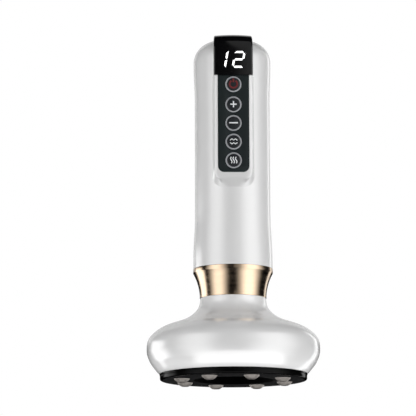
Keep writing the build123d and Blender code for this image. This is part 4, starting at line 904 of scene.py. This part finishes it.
def makeRings():
    r, hole, h, wide = (keys[k] for k in ("ringRadius", "hole", "ringHeight", "crestWidth"))
    crest = [(r - wide + wide * x, h * z) for x, z in arcPoints((0, 0), 1, 0, 90, 6)]
    radii = (r - wide - keys["crestBreak"], hole + keys["ringSlope"], hole)
    inside = [(x, h * share) for x, share in zip(radii, keys["ringFall"])]  # falls to the key
    profile = [(hole, 0)] + crest + inside
    ring = placed(lathePiece("ring", profile, keys["ringSteps"]), turnedX(90))
    places = [(0, panelLow.y, z) for z in keyHeights.values()]
    repeated("keyRings", ring, pointTree, "ring_silver", "key_rings", places)


def makeKey(name):
    low, high = keyBoxes[name]
    r, edge, stem, flange, front = (keys[k] for k in ("radius", "edge", "stem", "flange", "flangeFront"))
    face, back = -low.y, front - keys["flangeHeight"]
    rounded = arcPoints((r - edge, face - edge), edge, 0, 90, 6)
    profile = [(0, -high.y), (stem, -high.y), (stem, back), (flange, back), (flange, front), (r, front)]
    piece = lathePiece("key" + name.capitalize(), profile + rounded + [(0, face)], keys["steps"])
    placed(piece, Matrix.Translation(Vector((0, 0, keyHeights[name])) * mm) @ turnedX(90))
    dressed(piece, "key_black", "button_" + name, "key_" + name)


marks = {
    "stroke": 0.7, "powerStroke": 1.0, "fineStroke": 0.52, "thickness": 0.05, "reach": 4.4,
    "minusReach": 5.7, "powerRadius": 2.2, "powerGap": 64, "powerBar": 2.3,
    "zigzag": [(-2.1, 0.66), (-1.0, 1.5), (0, 0.75), (1.0, 1.5), (2.1, 0.66)],
    "waveGap": 1.4, "waveReach": 0.42, "waveSteps": 24,
}


def strokeMark(name, lines, width):  # rounded strokes that stand a hair proud of the key's face
    curve = bpy.data.curves.new(name, "CURVE")
    curve.dimensions = "3D"
    curve.bevel_depth = width / 2 * mm
    curve.bevel_resolution = 4
    curve.use_fill_caps = True
    for line in lines:
        spline = curve.splines.new("POLY")
        spline.points.add(len(line) - 1)
        for point, (x, z) in zip(spline.points, line):
            point.co = (x * mm, 0, z * mm, 1)
    tube = linked(name, curve)
    bpy.context.view_layer.update()
    mesh = finalMesh(tube)
    bpy.data.objects.remove(tube)
    mesh.name = name
    mesh.transform(Matrix.Diagonal((1, marks["thickness"] / width, 1, 1)))
    return cleaned(linked(name, mesh))


def markLines(name):
    half = marks["reach"] / 2 - marks["stroke"] / 2
    if name == "power":
        gap, radius, bar = marks["powerGap"] / 2, marks["powerRadius"], marks["powerBar"] / 2
        ring = arcPoints((0, 0), radius, 90 + gap, 450 - gap, 40)
        return [ring, [(0, radius - bar), (0, radius + bar)]]
    if name == "plus":
        return [[(-half, 0), (half, 0)], [(0, -half), (0, half)]]
    if name == "minus":
        wide = marks["minusReach"] / 2 - marks["stroke"] / 2
        return [[(-wide, 0), (wide, 0)]]
    if name == "suction":
        return [[(x, side * z) for x, z in marks["zigzag"]] for side in (1, -1)]
    shares = [k / marks["waveSteps"] for k in range(marks["waveSteps"] + 1)]
    return [[(shift + marks["waveReach"] * sin(2 * pi * t), half * (2 * t - 1)) for t in shares]
            for shift in (-marks["waveGap"], 0, marks["waveGap"])]


def makeMark(name):
    low, high = nodeBox("icon_" + name)
    slotName = "icon_red" if name == "power" else "icon_white"
    strokes = {"power": "powerStroke", "suction": "fineStroke", "heat": "fineStroke"}
    stroke = marks[strokes.get(name, "stroke")]
    piece = strokeMark("mark" + name.capitalize(), markLines(name), stroke)
    placed(piece, Matrix.Translation(Vector((0, low.y, keyHeights[name])) * mm))
    dressed(piece, slotName, "icon_" + name, "key_" + name)


makePanel()
makeRings()
for name in keys["names"]:
    makeKey(name)
    makeMark(name)
print("panel and keys made")

# Display lens: a cap swept up the front, round the edge and back over the crown

lens = {
    "half": 11.25, "arc": 11.0, "frontRun": 4, "topRun": 5, "rearDrop": 0.9, "rearRun": 2.7,
    "depth": 8.0, "sideEdge": 0.7, "topEdge": 0.8, "taper": 0.35, "crown": 0.55,
    "roomHalf": 9.2, "roomLow": 3, "roomHigh": 16, "roomFront": 23.6, "roomBack": 15,
}


def lensSection(half, edge, crown):  # half-turn section of (x, drop below the surface)
    left = [(x, -d) for x, d in arcPoints((-half + edge, -edge), edge, 180, 90, 6)]
    right = [(x, -d) for x, d in arcPoints((half - edge, -edge), edge, 90, 0, 6)]
    middle = [((k / 8 - 0.5) * 2 * (half - edge), 0) for k in range(1, 8)]
    points = [(x, d + crown * (x / half) ** 2) for x, d in left + middle + right]
    return points + [(half, lens["depth"]), (-half, lens["depth"])]


def makeLens():
    front, top, rear, arc = lensLow.y, lensHigh.z, lensHigh.y, lens["arc"]
    corner = (front + arc, top - arc)
    path = [(front, lensLow.z), (front, corner[1] - lens["frontRun"])]
    path += arcPoints(corner, arc, 180, 90, 20)
    path += [(corner[0] + lens["topRun"], top), (rear - lens["rearRun"], top)]
    path += [(rear, top - lens["rearDrop"])]
    rows = []
    for k, (y, z) in enumerate(path):
        before, after = path[max(k - 1, 0)], path[min(k + 1, len(path) - 1)]
        along = Vector((after[0] - before[0], after[1] - before[1])).normalized()
        normal = Vector((0, 1)) if y > corner[0] else Vector((-along.y, along.x))
        up = max(0.0, normal.y) ** 2
        edge = lens["sideEdge"] + (lens["topEdge"] - lens["sideEdge"]) * up
        section = lensSection(lens["half"] - lens["taper"] * up, edge, lens["crown"] * up)
        rows.append([(x, y - normal.x * d, z - normal.y * d) for x, d in section])
    piece = sweptPiece("displayLens", rows)
    combined(piece, handleTube("solidHandle", False))
    room = boxOutline(lens["roomHalf"], lensLow.z + lens["roomLow"], lensLow.z + lens["roomHigh"])
    combined(piece, blockPiece("room", room, -lens["roomFront"], -lens["roomBack"]))
    dressed(cleaned(piece), "lens_black", "display_lens")


digits = {"width": 6.43, "height": 9.83, "stroke": 1.15, "gap": 0.14, "slant": 10.0, "rise": 4.1,
          "oneLeft": -10.77, "twoLeft": -0.98, "chamfer": 1.75, "depth": 0.3, "proud": 0.01}


def digitBars():
    w, h, s, g, c = (digits[k] for k in ("width", "height", "stroke", "gap", "chamfer"))
    m = h / 2
    one = [
        [(w, h), (w - s, h - 1.07), (w - s, m + 1.1), (w - 0.35, m + g), (w, m + 0.75)],
        [(w, m - g), (w - s, m - 0.85), (w - s, 1.5), (w, 0.15)],
    ]
    two = [
        [(g, h - s), (c - 0.3, h), (w - c, h), (w - c / 2 - g, h - c / 2 + g), (w - s - g, h - s)],
        [(w - s, h - s - g), (w - c / 2, h - c / 2 - g), (w, h - c), (w, m + s / 2), (w - c / 2, m + g),
         (w - s, m + s / 2 + g + 0.1)],
        [(c / 2 + g, m), (s + 0.2, m + s / 2), (w - s - 0.1, m + s / 2), (w - c / 2 - g, m),
         (w - s, m - s / 2), (s + 0.1, m - s / 2)],
        [(c / 2 - 0.2, m - g), (s, m - s / 2 - g), (s, s), (c / 2, c / 2 + g), (0, c), (0, m - s / 2)],
        [(c, s), (c / 2 + g, c / 2 - g), (c, 0), (w, 0), (w - s, s)],
    ]
    return one, two


def makeDigits():
    one, two = digitBars()
    lean = tan(radians(digits["slant"]))
    front, foot = lensLow.y - digits["proud"], lensLow.z + digits["rise"]
    parts = []
    for left, bars in ((digits["oneLeft"], one), (digits["twoLeft"], two)):
        for bar in bars:
            outline = [(left + x + z * lean, foot + z) for x, z in bar]
            parts.append(blockPiece("bar", outline, front + digits["depth"], front))
    piece = joined("displayDigits", parts)
    smoothMesh(piece.data)
    dressed(piece, "digit_white", "display_digits")


makeLens()
makeDigits()
print("display made")

# Camera at the photograph's viewing angle

shot = {
    "distance": 1400, "height": -138, "azimuth": -1.7, "pitch": 9.731, "roll": 0.18,
    "axisPixel": 25.05, "focal": 2457.5, "frame": 416,  # in pixels
    "sensor": 36.0, "clip": (0.1, 20),
}


def makeCamera():
    lens = bpy.data.cameras.new("camera")
    lens.sensor_width = shot["sensor"]
    lens.lens = shot["focal"] * shot["sensor"] / shot["frame"]
    lens.clip_start, lens.clip_end = shot["clip"]
    camera = linked("camera", lens)
    turn = radians(shot["azimuth"])
    spot = Vector((sin(turn) * shot["distance"], -cos(turn) * shot["distance"], shot["height"]))
    camera.location = spot * mm
    heading = turn + atan(shot["axisPixel"] / shot["focal"])
    camera.rotation_mode = "QUATERNION"
    look = (Matrix.Rotation(heading, 4, "Z") @ turnedX(90 + shot["pitch"])
            @ Matrix.Rotation(radians(-shot["roll"]), 4, "Z"))
    camera.rotation_quaternion = look.to_quaternion()
    bpy.context.scene.camera = camera


makeCamera()

# Studio: soft boxes on a ball round the product, lit arcs at its foot, and a pale floor

studio = {
    "centre": (0, 0, 0.10), "distance": 1.25, "facet": 3, "ambient": 0.1, "surround": 1.2,
    "boxes": [  # from and to azimuth, from and to elevation, strength, side and end feather, what sees it
        ("leftBox", -92, -12, -60, 41, 2.0, 0.45, 0.19, "glossy"),
        ("rightBox", 5, 104, -60, 45, 2.35, 0.45, 0.19, "glossy"),
        ("leftBack", -145, -97, -34, 12, 2.6, 0.3, 0.15, "glossy"),
        ("rightStrip", 130, 150, -45, 35, 1.5, 0.3, 0.15, "glossy"),
        ("back", 146, 222, 2, 60, 0.65, 0.15, 0.1, "glossy"),
        ("underCard", -180, 180, -90, -56, 0.5, 0, 0.1, "glossy"),
        ("frontCard", 1.7, 21.7, -4, 76, 0.22, 0.035, 0.06, "glossy"),
        ("softSides", 42, 318, -24, 10, 2.1, 0.1, 0.1, "diffuse"),
        ("softFront", -70, 70, -3, 27, 2.6, 0.2, 0.15, "diffuse"),
        ("rightFill", 68, 140, -22, 15, 2.2, 0.15, 0.1, "diffuse"),
    ],
    "table": [  # from and to azimuth, inner and outer radius, strength, side and end feather, what sees it
        (-44, 54, 45, 68, 3.0, 0.15, 0.2, "glossy"),
        (-180, 180, 43, 60, 1.25, 0, 0.15, "diffuse"),
    ],
    "tableHeight": -1.0, "floorHalf": 1.0, "floorGlow": 0.5,
}


def stagePatch(name, rows):  # lit card that the camera does not see
    across, up = len(rows[0]) - 1, len(rows) - 1
    mesh = bpy.data.meshes.new(name)
    mesh.from_pydata([v for r in rows for v in r], [], skinRows(rows, False))
    layer = mesh.uv_layers.new(name="UVMap")
    for loop in mesh.loops:
        j, k = divmod(loop.vertex_index, across + 1)
        layer.data[loop.index].uv = (k / across, j / up)
    patch = linked(name, mesh)
    patch.visible_camera = False
    patch.visible_shadow = False
    return patch


def skyPatch(name, west, east, low, high, distance=studio["distance"]):
    # piece of a ball round the product: azimuth from the front, towards +X, and elevation
    across, up = (max(8, int(span / studio["facet"])) for span in (east - west, high - low))
    x, y, z = studio["centre"]
    return stagePatch(name, [[(
        x + distance * sin(a) * cos(e),
        y - distance * cos(a) * cos(e),
        z + distance * sin(e),
    ) for a in steppedAngles(west, east, across)] for e in steppedAngles(low, high, up)])


def tableArc(west, east, inner, outer):
    height = studio["tableHeight"] * mm
    return stagePatch("table", [[(
        radius * mm * sin(a), -radius * mm * cos(a), height,
    ) for a in steppedAngles(west, east, 96)] for radius in (inner, outer)])


def boxMaterial(name, strength, sideFeather, endFeather):
    material, tree = nodeMaterial(name)
    tree.nodes.clear()
    glow = addNode(tree, "Emission", {"Strength": strength})
    kinds = ("OutputMaterial", "BsdfTransparent", "MixShader", "SeparateXYZ", "TexCoord")
    out, clear, mix, split, place = (addNode(tree, kind) for kind in kinds)
    wire(tree, (place, "UV", split, "Vector"))
    level = None
    for axis, feather in (("X", sideFeather), ("Y", endFeather)):
        ends = ((0.0, feather), (1.0, 1.0 - feather)) if feather else ()
        for low, high in ends:
            fade = addNode(tree, "MapRange", {"From Min": low, "From Max": high})
            fade.interpolation_type = "SMOOTHSTEP"
            wire(tree, (split, axis, fade, "Value"))
            faded = fade.outputs["Result"]
            level = mathNode(tree, "MULTIPLY", level, faded) if level else faded
    tree.links.new(level, mix.inputs["Fac"])
    wire(tree, (clear, "BSDF", mix, 1), (glow, "Emission", mix, 2), (mix, "Shader", out, "Surface"))
    return material


def lightPatch(patch, strength, sideFeather, endFeather, seenBy):
    patch.visible_glossy = seenBy == "glossy"
    patch.visible_diffuse = seenBy == "diffuse"
    patch.data.materials.append(boxMaterial(patch.name, strength, sideFeather, endFeather))


def makeStudio():
    for name, west, east, low, high, *light in studio["boxes"]:
        lightPatch(skyPatch(name, west, east, low, high), *light)
    # Bright tabletop round the foot of the product
    for west, east, inner, outer, *light in studio["table"]:
        lightPatch(tableArc(west, east, inner, outer), *light)
    # Black surround that only reflections see
    around = skyPatch("surround", -180, 180, -90, 90, studio["distance"] * studio["surround"])
    dark, tree = nodeMaterial("surround")
    setInputs(tree.nodes["Principled BSDF"], {"Base Color": (0, 0, 0, 1), "Specular IOR Level": 0})
    around.data.materials.append(dark)
    around.visible_diffuse = False
    around.visible_transmission = False


def makeWorld():  # white to the camera and to reflections, dim as a light
    world = bpy.data.worlds.new("studio")
    world.use_nodes = True
    tree = world.node_tree
    light, path = tree.nodes["Background"], addNode(tree, "LightPath")
    setInputs(light, {"Color": (1, 1, 1, 1)})
    total = path.outputs["Is Camera Ray"]
    for output in ("Is Glossy Ray", "Is Transmission Ray"):
        total = mathNode(tree, "MAXIMUM", total, path.outputs[output])
    level = addNode(tree, "MapRange", {"To Min": studio["ambient"], "To Max": 1.0})
    tree.links.new(total, level.inputs["Value"])
    wire(tree, (level, "Result", light, "Strength"))
    bpy.context.scene.world = world


def makeFloor():
    side = studio["floorHalf"]
    mesh = bpy.data.meshes.new("floor")
    corners = [(-side, -side, 0), (side, -side, 0), (side, side, 0), (-side, side, 0)]
    mesh.from_pydata(corners, [], [[0, 1, 2, 3]])
    linked("floor", mesh)
    material, tree = nodeMaterial("paleFloor")
    surface = setInputs(tree.nodes["Principled BSDF"], {
        "Base Color": (0.9, 0.9, 0.9, 1), "Roughness": 0.9,
        "Emission Color": (1, 1, 1, 1), "Emission Strength": studio["floorGlow"]})
    kinds = ("LightPath", "NewGeometry", "BsdfTransparent", "MixShader")
    path, sides, clear, mix = (addNode(tree, kind) for kind in kinds)
    # There for the camera alone, and only from above
    seenTop = mathNode(tree, "SUBTRACT", path.outputs["Is Camera Ray"], sides.outputs["Backfacing"])
    seenTop.node.use_clamp = True
    tree.links.new(seenTop, mix.inputs["Fac"])
    wire(tree, (clear, "BSDF", mix, 1), (surface, "BSDF", mix, 2),
         (mix, "Shader", tree.nodes["Material Output"], "Surface"))
    mesh.materials.append(material)


makeStudio()
makeWorld()
makeFloor()
bpy.context.scene.view_settings.view_transform = "Standard"
print("studio set")
